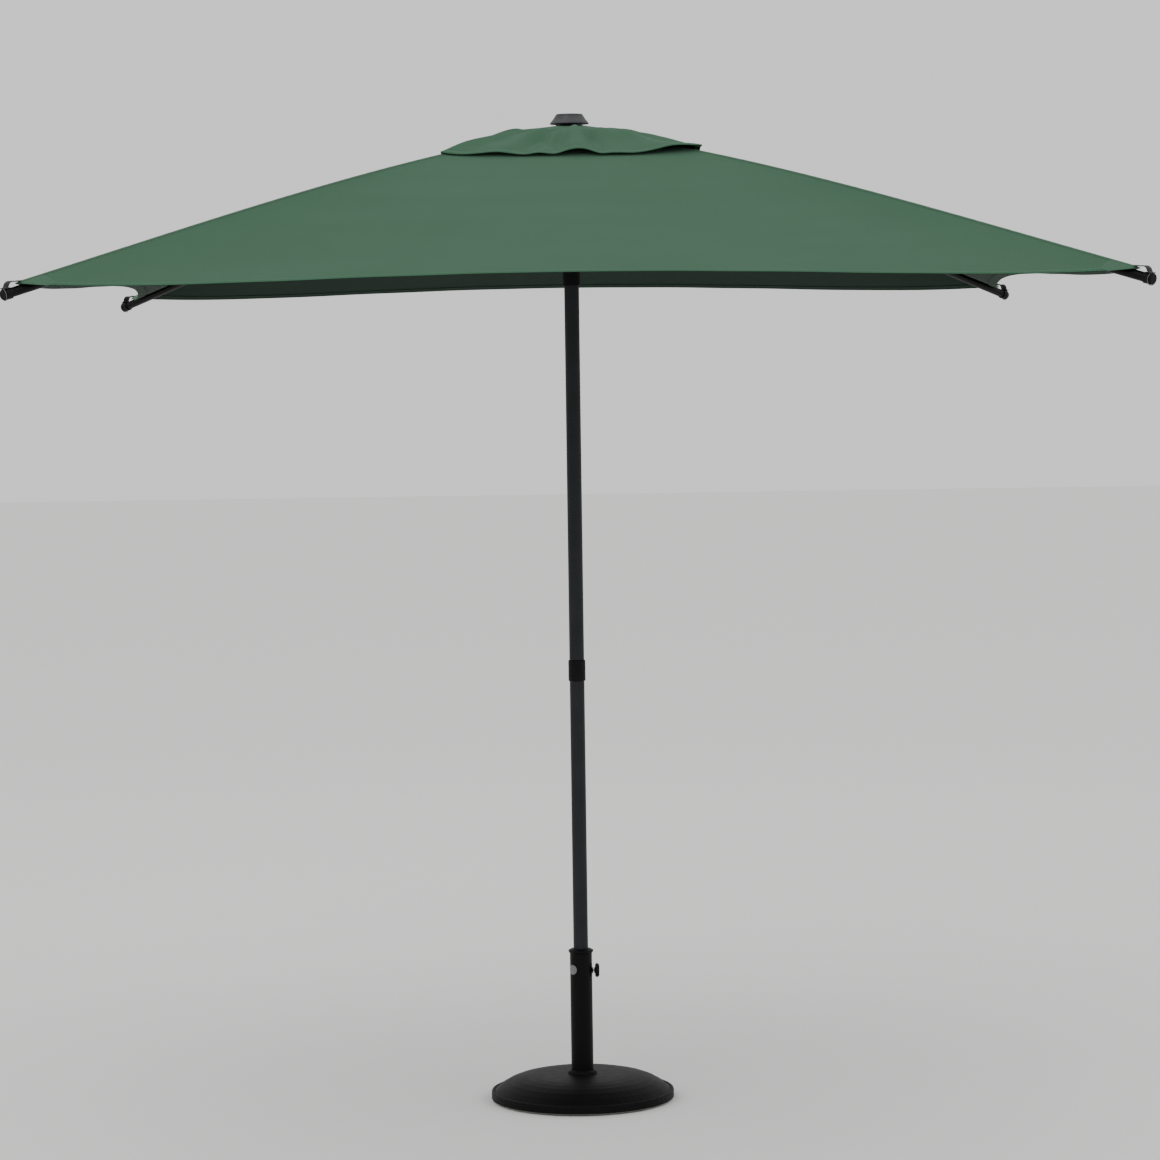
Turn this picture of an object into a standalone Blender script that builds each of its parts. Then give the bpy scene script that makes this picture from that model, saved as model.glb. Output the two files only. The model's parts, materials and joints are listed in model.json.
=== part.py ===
"""Patio umbrella with a square vented canopy, a two-piece mast and a weighted round base.

Units are metres, +Z is up, the origin is on the floor at the centre of the base, and the clamp
knob points along +X. Ribs run to the four corners. Each rib and its strut form an isosceles
triangle with the mast: the pivot at the crown and the pivot at the runner are equally far from
the axis, and the strut is as long as the distance from the crown pivot to the bracket pivot.
So the runner slides exactly along the mast while the ribs fold. The ribs are bent tubes: the
stretched canopy bows them upward between the crown and the tips.
"""
import math

import bmesh
import bpy
from mathutils import Matrix, Vector

# ---- overall sizes ----
BASE_D = 0.470                # outside of the base cover
DOME_TOP_Z = 0.067            # top of the dome at the middle, before the hole for the socket
RIM_Z = 0.0265                # top of the lip around the cover
CROWN_PIVOT_Z = 2.460         # height of the pivots at the crown
TIP_HALF = 1.2715             # half the distance between neighbouring rib tips
RIB_SLOPE_DEG = 12.65         # fall of the open ribs below horizontal, from pivot to tip
RIB_BOW = 0.027               # greatest height of a rib above that straight line
STRUT_LEN = 0.620             # between the pivots of a strut
HEM_CORNER = 1.246            # half the side of the canopy at its corners
HEM_MIDDLE = 1.132            # distance of the hem from the axis at the middle of a side
VENT_HALF = 0.322             # half the side of the vent cover
VENT_HOLE_HALF = 0.200        # half the side of the opening in the canopy
FABRIC_T = 0.0012
GAP = 0.0003                  # between pieces that touch
RUN = 0.0007                  # to each side of a piece that turns or slides

# ---- mast ----
MAST_R = 0.019
MAST_WALL = 0.0015
JOIN_Z = 1.105                # where the upper tube meets the lower tube
SLEEVE_WALL = 0.0027
SLEEVE_LOW = 0.024            # from the joint down to the sleeve's lower end
SLEEVE_HIGH = 0.030           # from the joint up to the sleeve's upper end
SPIGOT_DOWN = 0.105
SPIGOT_UP = 0.100
SPIGOT_WALL = 0.002

# ---- base and socket ----
COVER_WALL = 0.0025
COVER_FOOT_Z = 0.006
DOME_POWER = 5.2
DOME_STEPS = 8
LIP_W = 0.008                 # from the foot of the dome to the outside of the rim
LIP_RISE = 0.003
FOOT_OUTER_R = 0.205
FOOT_INNER_R = 0.165
BALLAST_Z = 0.0035
FLOOR_Z = 0.022               # floor of the pocket for the socket tube
SOCKET_WALL = 0.002
BUSH_WALL = 0.0065
SOCKET_TOP_Z = 0.378
COLLAR_WALL = 0.009
COLLAR_H = 0.010
BUSH_Z = 0.060
BUSH_H = 0.025
CAP_LIP = 0.0035
CAP_H = 0.012
CAP_SKIRT = 0.034
PLUG_FLANGE_H = 0.0075
PLUG_STEM_H = 0.022

# ---- clamp ----
CLAMP_Z = 0.333
SCREW_R = 0.003
BOSS_R = 0.005
BOSS_FLANGE_R = 0.0085
BOSS_FLANGE_T = 0.0023
CLAMP_TRAVEL = 0.00375         # three turns of the screw
PAD_R = 0.006
PAD_T = 0.0022
KNOB_R = 0.0182
KNOB_T = 0.0135
KNOB_GAP = 0.0022             # between the boss and the neck of the knob
KNOB_NECK = 0.0025
KNOB_LOBES = 8
KNOB_LOBE_DEPTH = 0.0011
BADGE_R = 0.0125
BADGE_T = 0.0016
BADGE_Z = 0.338
BADGE_AZIMUTH_DEG = 222.0

# ---- crown ----
PIVOT_OUT = 0.021             # of every crown and runner pivot, from the mast's surface
PIN_R = 0.0025
HUB_RIM = 0.012               # from the pivots to the outside of a hub
HUB_DOWN = 0.022
HUB_UP = 0.022
SLOT_ROOF = 0.008
SLOT_CLEAR = 0.0025           # behind the eye of a rib
COLLAR_TOP_WALL = 0.0147
COLLAR_TOP_UP = 0.0365        # from the crown pivots up to the seat of the vent cover
EYE_R = 0.009
FINIAL_BASE_R = 0.050
FINIAL_WAIST_R = 0.0365
FINIAL_TOP_R = 0.033
FINIAL_H = 0.0255
FINIAL_STEM = 0.036

# ---- ribs and struts ----
RIB_R = 0.011
RIB_WALL = 0.0012
RIB_TUBE_START = 0.050
TONGUE_HALF_W = 0.0066
TONGUE_HALF_H = 0.0064
TONGUE_LEN = 0.098
BRACKET_DROP = 0.030          # from the rib's axis to the bracket pivot
BRACKET_LEN = 0.030
BRACKET_WALL = 0.0018
BRACKET_SKIRT = 0.009         # below the bracket pivot
CLOTH_CLEAR = 0.0038          # between the brackets and the canopy
END_CAP_LIP = 0.0012
RIB_INNER_STEPS = 4           # straight lengths in a bent tube, from the crown to the bracket
RIB_OUTER_STEPS = 7           # and from the bracket to the end cap
END_CAP_LEN = 0.012
END_PLUG_LEN = 0.030
STRUT_R = 0.008
STRUT_WALL = 0.0013
STRUT_EYE_R = 0.0080
STRUT_EYE_HALF_W = 0.0060
STRUT_BAR_HALF_H = 0.0048
STRUT_TUBE_START = 0.028
STRUT_BAR_LEN = 0.055
STRAP_W = 0.022
STRAP_T = 0.0016

# ---- runner ----
RUNNER_UP = 0.012
RUNNER_DOWN = 0.014
RUNNER_COLLAR = 0.018
RUNNER_SLEEVE = 0.078
RUNNER_SLEEVE_WALL = 0.0019
RUNNER_COLLAR_WALL = 0.0049
LINER_WALL = 0.0017

# ---- canopy grid ----
COLUMNS = 5                   # from the middle of a panel to its rib
ROWS = 13                     # from the vent opening to the hem
SAG = 0.030
VENT_COLUMNS = 6
VENT_ROWS = 8
VENT_FLAT = 0.155             # half the width of the nearly level top of the vent cover
VENT_FLAT_DROP = 0.010
VENT_DROP = 0.078

# ---- values derived from the sizes above ----
INNER_MAST_R = MAST_R - MAST_WALL
BORE_R = MAST_R + RUN
SLEEVE_R = MAST_R + GAP + SLEEVE_WALL
RUNNER_BORE_R = MAST_R + LINER_WALL + 2 * GAP
RUNNER_SLEEVE_R = RUNNER_BORE_R + RUNNER_SLEEVE_WALL
RUNNER_COLLAR_R = RUNNER_BORE_R + RUNNER_COLLAR_WALL
SOCKET_BORE_R = BORE_R + BUSH_WALL + GAP
SOCKET_R = SOCKET_BORE_R + SOCKET_WALL
COLLAR_R = SOCKET_R + COLLAR_WALL
CAP_R = SOCKET_R + CAP_LIP
PIVOT_R = MAST_R + PIVOT_OUT
HUB_R = PIVOT_R + HUB_RIM
SLOT_INNER_R = PIVOT_R - EYE_R - SLOT_CLEAR
COLLAR_TOP_R = MAST_R + GAP + COLLAR_TOP_WALL
VENT_CROWN = VENT_FLAT_DROP * (COLLAR_TOP_R / VENT_FLAT) ** 2
CANOPY_RISE = RIB_R + GAP + BRACKET_WALL + CLOTH_CLEAR
END_CAP_R = RIB_R + END_CAP_LIP
SLOPE = math.radians(RIB_SLOPE_DEG)
TIP_R = TIP_HALF * math.sqrt(2)
RIB_LEN = (TIP_R - PIVOT_R) / math.cos(SLOPE)


def bow(distance):
    """Height of a bent rib's axis above the line from its pivot to its tip."""
    share = min(max(distance / RIB_LEN, 0.0), 1.0)
    return RIB_BOW * 1.9 * share * (1 - share) * (3 - 2 * share)


BRACKET_RISE = bow(STRUT_LEN) - BRACKET_DROP
LEAN = -math.asin(BRACKET_RISE / STRUT_LEN)
LINK = SLOPE + LEAN
RUNNER_Z = CROWN_PIVOT_Z - 2 * STRUT_LEN * math.sin(LINK)
BRACKET_S = STRUT_LEN * math.cos(LEAN)
TUBE_TOP_Z = CROWN_PIVOT_Z + HUB_UP + 0.002
SEAT_Z = CROWN_PIVOT_Z + COLLAR_TOP_UP
PANEL_FALL = math.tan(SLOPE) * math.sqrt(2)
RIDGE_Z = CROWN_PIVOT_Z + CANOPY_RISE / math.cos(SLOPE) + PIVOT_R * math.tan(SLOPE)
CORNER_S = (HEM_CORNER * math.sqrt(2) - PIVOT_R) / math.cos(SLOPE)
PAD_X = MAST_R + GAP
BOSS_IN_X = PAD_X + PAD_T + CLAMP_TRAVEL + RUN
BOSS_OUT_X = SOCKET_R + 0.0004 + BOSS_FLANGE_T
KNOB_X = BOSS_OUT_X + KNOB_GAP
RIB_AZIMUTHS = (45.0, 135.0, 225.0, 315.0)

MATERIALS = {
    "matte_black_cover": (0.012, 0.012, 0.013, 0.0, 0.55),
    "concrete_ballast": (0.30, 0.29, 0.27, 0.0, 0.9),
    "black_rubber": (0.015, 0.015, 0.015, 0.0, 0.8),
    "black_steel": (0.018, 0.018, 0.019, 0.0, 0.45),
    "black_plastic": (0.010, 0.010, 0.011, 0.0, 0.5),
    "zinc_steel": (0.55, 0.56, 0.58, 1.0, 0.35),
    "grey_badge": (0.20, 0.20, 0.21, 0.6, 0.45),
    "charcoal_steel": (0.030, 0.031, 0.032, 0.0, 0.45),
    "grey_plastic": (0.075, 0.072, 0.075, 0.0, 0.5),
    "green_canopy": (0.080, 0.150, 0.110, 0.0, 0.85),
    "black_webbing": (0.012, 0.012, 0.012, 0.0, 0.85),
}


def make_material(name):
    red, green, blue, metallic, roughness = MATERIALS[name]
    material = bpy.data.materials.new(name)
    material.use_nodes = True
    shader = material.node_tree.nodes["Principled BSDF"]
    shader.inputs["Base Color"].default_value = (red, green, blue, 1.0)
    shader.inputs["Metallic"].default_value = metallic
    shader.inputs["Roughness"].default_value = roughness
    material.diffuse_color = (red, green, blue, 1.0)
    return material


def slot(name):
    found = bpy.data.materials.get(name)
    return found if found else make_material(name)


def finish(name, mesh_data, material, smooth=True):
    """Store a bmesh as an object with outward normals and, when round, smooth shading."""
    bmesh.ops.remove_doubles(mesh_data, verts=mesh_data.verts, dist=0.000001)
    bmesh.ops.recalc_face_normals(mesh_data, faces=mesh_data.faces)
    mesh = bpy.data.meshes.new(name)
    mesh_data.to_mesh(mesh)
    mesh_data.free()
    if smooth:
        mesh.shade_smooth()
        mesh.set_sharp_from_angle(angle=math.radians(35))
    mesh.materials.append(slot(material))
    obj = bpy.data.objects.new(name, mesh)
    bpy.context.scene.collection.objects.link(obj)
    return obj


def add_lathe(mesh_data, profile, segments, place):
    """Turn a closed (radius, height) outline around the local Z axis."""
    rings = []
    for radius, height in profile:
        if radius < 1e-9:
            rings.append([mesh_data.verts.new(place @ Vector((0, 0, height)))])
            continue
        ring = []
        for step in range(segments):
            angle = 2 * math.pi * (step + 0.5) / segments
            point = Vector((radius * math.cos(angle), radius * math.sin(angle), height))
            ring.append(mesh_data.verts.new(place @ point))
        rings.append(ring)
    for index, ring in enumerate(rings):
        other = rings[(index + 1) % len(rings)]
        if len(ring) == 1 and len(other) == 1:
            continue
        for step in range(segments):
            nxt = (step + 1) % segments
            corners = [ring[step % len(ring)], ring[nxt % len(ring)]]
            corners += [other[nxt % len(other)], other[step % len(other)]]
            unique = list(dict.fromkeys(corners))
            mesh_data.faces.new(unique)


def add_prism(mesh_data, outline, low, high, place):
    """Raise a flat outline from low to high along the local Z axis."""
    bottom = [mesh_data.verts.new(place @ Vector((x, y, low))) for x, y in outline]
    top = [mesh_data.verts.new(place @ Vector((x, y, high))) for x, y in outline]
    count = len(outline)
    mesh_data.faces.new(bottom[::-1])
    mesh_data.faces.new(top)
    for index in range(count):
        nxt = (index + 1) % count
        mesh_data.faces.new([bottom[index], bottom[nxt], top[nxt], top[index]])


def lathe(name, profile, material, segments=32, place=Matrix()):
    mesh_data = bmesh.new()
    add_lathe(mesh_data, profile, segments, place)
    return finish(name, mesh_data, material)


def prism(name, outline, low, high, material, place=Matrix(), smooth=True):
    mesh_data = bmesh.new()
    add_prism(mesh_data, outline, low, high, place)
    return finish(name, mesh_data, material, smooth)


def tube(name, outer, inner, low, high, material, segments=32, place=Matrix(), edge=0.0):
    profile = [(inner, low), (outer - edge, low), (outer, low + edge)]
    profile += [(outer, high - edge), (outer - edge, high), (inner, high)]
    if edge == 0.0:
        profile = [(inner, low), (outer, low), (outer, high), (inner, high)]
    return lathe(name, profile, material, segments, place)


def combine(target, tool, operation):
    """Apply an exact Boolean with a tool object, then remove the tool."""
    tool.hide_render = True
    tool.display_type = "WIRE"
    modifier = target.modifiers.new("cut", "BOOLEAN")
    modifier.operation = operation
    modifier.solver = "EXACT"
    modifier.object = tool
    bpy.context.view_layer.update()
    graph = bpy.context.evaluated_depsgraph_get()
    mesh = bpy.data.meshes.new_from_object(target.evaluated_get(graph))
    target.modifiers.clear()
    old = target.data
    target.data = mesh
    bpy.data.meshes.remove(old)
    mesh.name = target.name
    bpy.data.objects.remove(tool, do_unlink=True)
    mesh_data = bmesh.new()
    mesh_data.from_mesh(mesh)
    bmesh.ops.remove_doubles(mesh_data, verts=mesh_data.verts, dist=0.000002)
    bmesh.ops.dissolve_degenerate(mesh_data, edges=mesh_data.edges, dist=0.000002)
    mesh_data.to_mesh(mesh)
    mesh_data.free()
    mesh.shade_smooth()
    mesh.set_sharp_from_angle(angle=math.radians(35))
    while len(mesh.materials) > 1:
        mesh.materials.pop()


def bend(obj, frame):
    """Bow a piece of a rib, in the plane that its frame's X and Y span."""
    undo = frame.inverted()
    for vertex in obj.data.vertices:
        local = undo @ vertex.co
        local.y += bow(local.x)
        vertex.co = frame @ local


def rod(name, radius, low, high, material, segments, place):
    profile = [(0, low), (radius, low), (radius, high), (0, high)]
    return lathe(name, profile, material, segments, place)


def box_outline(x0, x1, y0, y1):
    return [(x0, y0), (x1, y0), (x1, y1), (x0, y1)]


def spin(azimuth_deg):
    return Matrix.Rotation(math.radians(azimuth_deg), 4, "Z")


def radial_plane(azimuth_deg, radius, height):
    """Local X points outward, local Y up and local Z sideways, at a point on that azimuth."""
    outward = spin(azimuth_deg) @ Matrix.Translation((radius, 0, height))
    return outward @ Matrix.Rotation(math.radians(90), 4, "X")


def rib_frame(azimuth_deg):
    """Radial plane at the crown pivot, with local X along the open rib."""
    return radial_plane(azimuth_deg, PIVOT_R, CROWN_PIVOT_Z) @ Matrix.Rotation(-SLOPE, 4, "Z")


def strut_frame(azimuth_deg):
    """Radial plane at the runner pivot, with local X along the strut to the bracket pivot."""
    return radial_plane(azimuth_deg, PIVOT_R, RUNNER_Z) @ Matrix.Rotation(LINK, 4, "Z")


def along_x(frame):
    """Turn a frame so that its local Z follows the old local X."""
    return frame @ Matrix.Rotation(math.radians(90), 4, "Y")


def eye_bar(radius, half_height, length, steps=10):
    """Outline of a flat bar with a round end about the local origin."""
    start = math.asin(half_height / radius)
    sweep = 2 * (math.pi - start)
    outline = []
    for step in range(steps + 1):
        angle = start + sweep * step / steps
        outline.append((radius * math.cos(angle), radius * math.sin(angle)))
    outline += [(length, -half_height), (length, half_height)]
    return outline


def drill(target, radius, half_length, frame):
    tool = rod("drill", radius, -half_length, half_length, "zinc_steel", 16, frame)
    combine(target, tool, "DIFFERENCE")


# ---- base ----
def dome_height(radius):
    reach = BASE_D / 2 - LIP_W
    fall = DOME_TOP_Z - RIM_Z + LIP_RISE
    return DOME_TOP_Z - fall * (radius / reach) ** DOME_POWER


def build_base():
    rim = BASE_D / 2
    hole = SOCKET_R + GAP
    shares = [(step / DOME_STEPS) ** 0.7 for step in range(DOME_STEPS + 1)]
    radii = [hole + (rim - LIP_W - hole) * share for share in shares]
    outside = [(radius, dome_height(radius)) for radius in radii]
    inside = [(radius, dome_height(radius) - COVER_WALL) for radius in radii]
    edge = [(rim - 0.7 * LIP_W, RIM_Z - 0.0004), (rim - 0.4 * LIP_W, RIM_Z)]
    edge += [(rim - 0.001, RIM_Z - 0.001), (rim, RIM_Z - 0.003), (rim, COVER_FOOT_Z)]
    inner_rim = rim - COVER_WALL
    wall = [(inner_rim, COVER_FOOT_Z), (inner_rim, inside[-1][1])]
    lathe("base_cover", outside + edge + wall + inside[::-1], "matte_black_cover", 64)

    pocket = SOCKET_R + GAP
    fill_rim = inner_rim - 0.001
    fill = [(radius, height - 0.0006) for radius, height in inside]
    outline = [(0, BALLAST_Z), (fill_rim, BALLAST_Z), (fill_rim, fill[-1][1])]
    outline += fill[::-1]
    outline += [(pocket, FLOOR_Z), (0, FLOOR_Z)]
    lathe("base_ballast", outline, "concrete_ballast", 48)

    tube("base_foot_ring", FOOT_OUTER_R, FOOT_INNER_R, 0.0, BALLAST_Z - GAP, "black_rubber", 48)

    low = FLOOR_Z + GAP
    socket = tube("socket_tube", SOCKET_R, SOCKET_BORE_R, low, SOCKET_TOP_Z, "black_steel", 40)
    sideways = Matrix.Translation((0, 0, CLAMP_Z)) @ Matrix.Rotation(math.radians(90), 4, "Y")
    tool = rod("hole", BOSS_R + GAP, SOCKET_BORE_R - 0.004, SOCKET_R + 0.004, "zinc_steel", 20,
               sideways)
    combine(socket, tool, "DIFFERENCE")

    foot = dome_height(SOCKET_R) + GAP
    inner = SOCKET_R + GAP
    ring = [(inner, foot), (COLLAR_R, foot), (COLLAR_R - 0.001, foot + 0.006)]
    ring += [(COLLAR_R - 0.005, foot + COLLAR_H), (inner, foot + COLLAR_H)]
    lathe("socket_collar", ring, "black_plastic", 40)

    tube("socket_bushing", SOCKET_BORE_R - GAP, BORE_R, BUSH_Z, BUSH_Z + BUSH_H, "black_plastic")

    plug = SOCKET_BORE_R - GAP
    top = SOCKET_TOP_Z + GAP
    cap = [(BORE_R, top - CAP_SKIRT), (plug, top - CAP_SKIRT), (plug, top)]
    cap += [(SOCKET_R + 0.0002, top), (CAP_R, top + 0.005), (CAP_R, top + 0.0082)]
    cap += [(CAP_R - 0.007, top + CAP_H), (BORE_R, top + CAP_H)]
    lathe("socket_cap", cap, "black_plastic", 40)

    thread_r = SCREW_R + RUN
    flange_x = SOCKET_R + 0.0004
    boss = [(thread_r, BOSS_IN_X), (BOSS_R, BOSS_IN_X), (BOSS_R, flange_x)]
    boss += [(BOSS_FLANGE_R, flange_x), (BOSS_FLANGE_R, BOSS_OUT_X - 0.0006)]
    boss += [(BOSS_FLANGE_R - 0.0006, BOSS_OUT_X), (thread_r, BOSS_OUT_X)]
    lathe("clamp_boss", boss, "black_steel", 20, sideways)

    face = Matrix.Translation((0, 0, BADGE_Z)) @ spin(BADGE_AZIMUTH_DEG)
    face = face @ Matrix.Rotation(math.radians(90), 4, "Y")
    build_badge(face)


def build_badge(face):
    """A thin round plate bent to the socket tube."""
    mesh_data = bmesh.new()
    inner = SOCKET_R + GAP
    rings = 4
    around = 24
    layers = []
    for radius in (inner, inner + BADGE_T):
        layer = [[mesh_data.verts.new(face @ Vector((0, 0, radius)))]]
        for ring in range(1, rings + 1):
            spread = BADGE_R * ring / rings
            row = []
            for step in range(around):
                angle = 2 * math.pi * step / around
                bend = spread * math.sin(angle) / SOCKET_R
                point = (-spread * math.cos(angle), radius * math.sin(bend))
                point += (radius * math.cos(bend),)
                row.append(mesh_data.verts.new(face @ Vector(point)))
            layer.append(row)
        layers.append(layer)
    for layer in layers:
        for ring in range(rings):
            for step in range(around):
                nxt = (step + 1) % around
                near = layer[ring]
                far = layer[ring + 1]
                corners = [near[step % len(near)], far[step], far[nxt], near[nxt % len(near)]]
                mesh_data.faces.new(list(dict.fromkeys(corners)))
    for step in range(around):
        nxt = (step + 1) % around
        low = layers[0][-1]
        high = layers[1][-1]
        mesh_data.faces.new([low[step], low[nxt], high[nxt], high[step]])
    finish("blank_badge", mesh_data, "grey_badge")


def build_clamp():
    sideways = Matrix.Translation((0, 0, CLAMP_Z)) @ Matrix.Rotation(math.radians(90), 4, "Y")
    rod("clamp_pad", PAD_R, PAD_X, PAD_X + PAD_T, "black_plastic", 20, sideways)
    screw_end = KNOB_X + KNOB_T - 0.003
    rod("clamp_screw", SCREW_R, PAD_X + PAD_T + GAP, screw_end, "zinc_steel", 16, sideways)

    bore = SCREW_R + GAP
    neck = KNOB_X + KNOB_NECK
    face = KNOB_X + KNOB_T
    depth = screw_end + GAP
    profile = [(bore, KNOB_X), (0.007, KNOB_X), (0.008, neck), (KNOB_R - 0.004, neck)]
    profile += [(KNOB_R - 0.001, neck + 0.0015), (KNOB_R, neck + 0.004)]
    profile += [(KNOB_R, face - 0.005), (KNOB_R - 0.0015, face - 0.002), (KNOB_R - 0.005, face)]
    profile += [(0, face), (0, depth), (bore, depth)]
    knob = lathe("clamp_knob", profile, "black_plastic", 8 * KNOB_LOBES, sideways)
    undo = sideways.inverted()
    for vertex in knob.data.vertices:
        local = undo @ vertex.co
        radius = math.hypot(local.x, local.y)
        if radius < KNOB_R - 0.0055:
            continue
        wave = 1 - math.cos(KNOB_LOBES * math.atan2(local.y, local.x))
        scale = 1 - 0.5 * wave * KNOB_LOBE_DEPTH / radius
        vertex.co = sideways @ Vector((local.x * scale, local.y * scale, local.z))


# ---- mast ----
def build_mast():
    low = FLOOR_Z + 2 * GAP
    flange = low + PLUG_FLANGE_H
    stem_r = INNER_MAST_R - RUN
    plug = [(0, low), (MAST_R - 0.001, low), (MAST_R, low + 0.001), (MAST_R, flange)]
    plug += [(stem_r, flange), (stem_r, flange + PLUG_STEM_H), (0, flange + PLUG_STEM_H)]
    lathe("mast_foot_plug", plug, "black_plastic")

    tube("lower_mast_tube", MAST_R, INNER_MAST_R, flange + GAP, JOIN_Z, "charcoal_steel")
    spigot_r = INNER_MAST_R - GAP
    tube("spigot_tube", spigot_r, spigot_r - SPIGOT_WALL, JOIN_Z - SPIGOT_DOWN,
         JOIN_Z + SPIGOT_UP, "zinc_steel", edge=0.001)
    tube("coupling_sleeve", SLEEVE_R, MAST_R + GAP, JOIN_Z - SLEEVE_LOW, JOIN_Z + SLEEVE_HIGH,
         "black_plastic", edge=0.0016)
    tube("upper_mast_tube", MAST_R, INNER_MAST_R, JOIN_Z + GAP, TUBE_TOP_Z, "charcoal_steel")


def pivot_pins(name, height, half_length):
    for number, azimuth in enumerate(RIB_AZIMUTHS, start=1):
        place = radial_plane(azimuth, PIVOT_R, height)
        rod(f"{name}_{number}", PIN_R, -half_length, half_length, "zinc_steel", 16, place)


def cut_slots(hub, half_width, low, high, pin_height, pin_half):
    """Cut one slot for each rib or strut and a blind cross bore for its pin."""
    for azimuth in RIB_AZIMUTHS:
        outline = box_outline(SLOT_INNER_R, HUB_R + 0.01, -half_width, half_width)
        tool = prism("slot_tool", outline, low, high, "zinc_steel", spin(azimuth), False)
        combine(hub, tool, "DIFFERENCE")
        drill(hub, PIN_R + GAP, pin_half + GAP, radial_plane(azimuth, PIVOT_R, pin_height))


def build_crown():
    low = CROWN_PIVOT_Z - HUB_DOWN
    high = CROWN_PIVOT_Z + HUB_UP
    bore = MAST_R + GAP
    profile = [(bore, low), (HUB_R - 0.003, low), (HUB_R, low + 0.003), (HUB_R, high - 0.003)]
    profile += [(HUB_R - 0.003, high), (COLLAR_TOP_R, high), (COLLAR_TOP_R, SEAT_Z), (bore, SEAT_Z)]
    hub = lathe("crown_hub", profile, "black_plastic", 48)
    pin_half = TONGUE_HALF_W + RUN + 0.006
    cut_slots(hub, TONGUE_HALF_W + RUN, low - 0.01, high - SLOT_ROOF, CROWN_PIVOT_Z, pin_half)
    pivot_pins("crown_pin", CROWN_PIVOT_Z, pin_half)

    stem_r = INNER_MAST_R - GAP
    seat = SEAT_Z + FABRIC_T + 2 * GAP + VENT_CROWN
    top = seat + FINIAL_H
    finial = [(0, seat - FINIAL_STEM), (stem_r, seat - FINIAL_STEM), (stem_r, seat)]
    finial += [(FINIAL_BASE_R - 0.001, seat), (FINIAL_BASE_R, seat + 0.0015)]
    finial += [(FINIAL_BASE_R - 0.002, seat + 0.0045), (FINIAL_WAIST_R + 0.006, seat + 0.011)]
    finial += [(FINIAL_WAIST_R, top - 0.0055), (FINIAL_WAIST_R - 0.0003, top - 0.0035)]
    finial += [(FINIAL_TOP_R + 0.001, top - 0.003), (FINIAL_TOP_R, top), (0, top)]
    lathe("finial_cap", finial, "grey_plastic", 40)


def build_runner():
    low = RUNNER_Z - RUNNER_DOWN
    high = RUNNER_Z + RUNNER_UP
    profile = [(RUNNER_BORE_R, low - RUNNER_SLEEVE), (RUNNER_SLEEVE_R, low - RUNNER_SLEEVE)]
    profile += [(RUNNER_SLEEVE_R, low - 0.004), (HUB_R - 0.003, low), (HUB_R, low + 0.003)]
    profile += [(HUB_R, high - 0.002), (HUB_R - 0.002, high), (RUNNER_COLLAR_R, high)]
    profile += [(RUNNER_COLLAR_R, high + RUNNER_COLLAR), (RUNNER_BORE_R, high + RUNNER_COLLAR)]
    hub = lathe("runner_hub", profile, "black_plastic", 48)
    pin_half = STRUT_EYE_HALF_W + RUN + 0.006
    slot_low = RUNNER_Z - STRUT_EYE_R - 0.0012
    cut_slots(hub, STRUT_EYE_HALF_W + RUN, slot_low, high + 0.03, RUNNER_Z, pin_half)
    pivot_pins("runner_pin", RUNNER_Z, pin_half)
    tube("runner_liner", RUNNER_BORE_R - GAP, MAST_R + GAP, low - RUNNER_SLEEVE + 0.004,
         high + RUNNER_COLLAR - 0.002, "grey_plastic")


# ---- ribs, struts and canopy ----
def even_steps(low, high, count):
    return [low + (high - low) * step / count for step in range(count + 1)]


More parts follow.
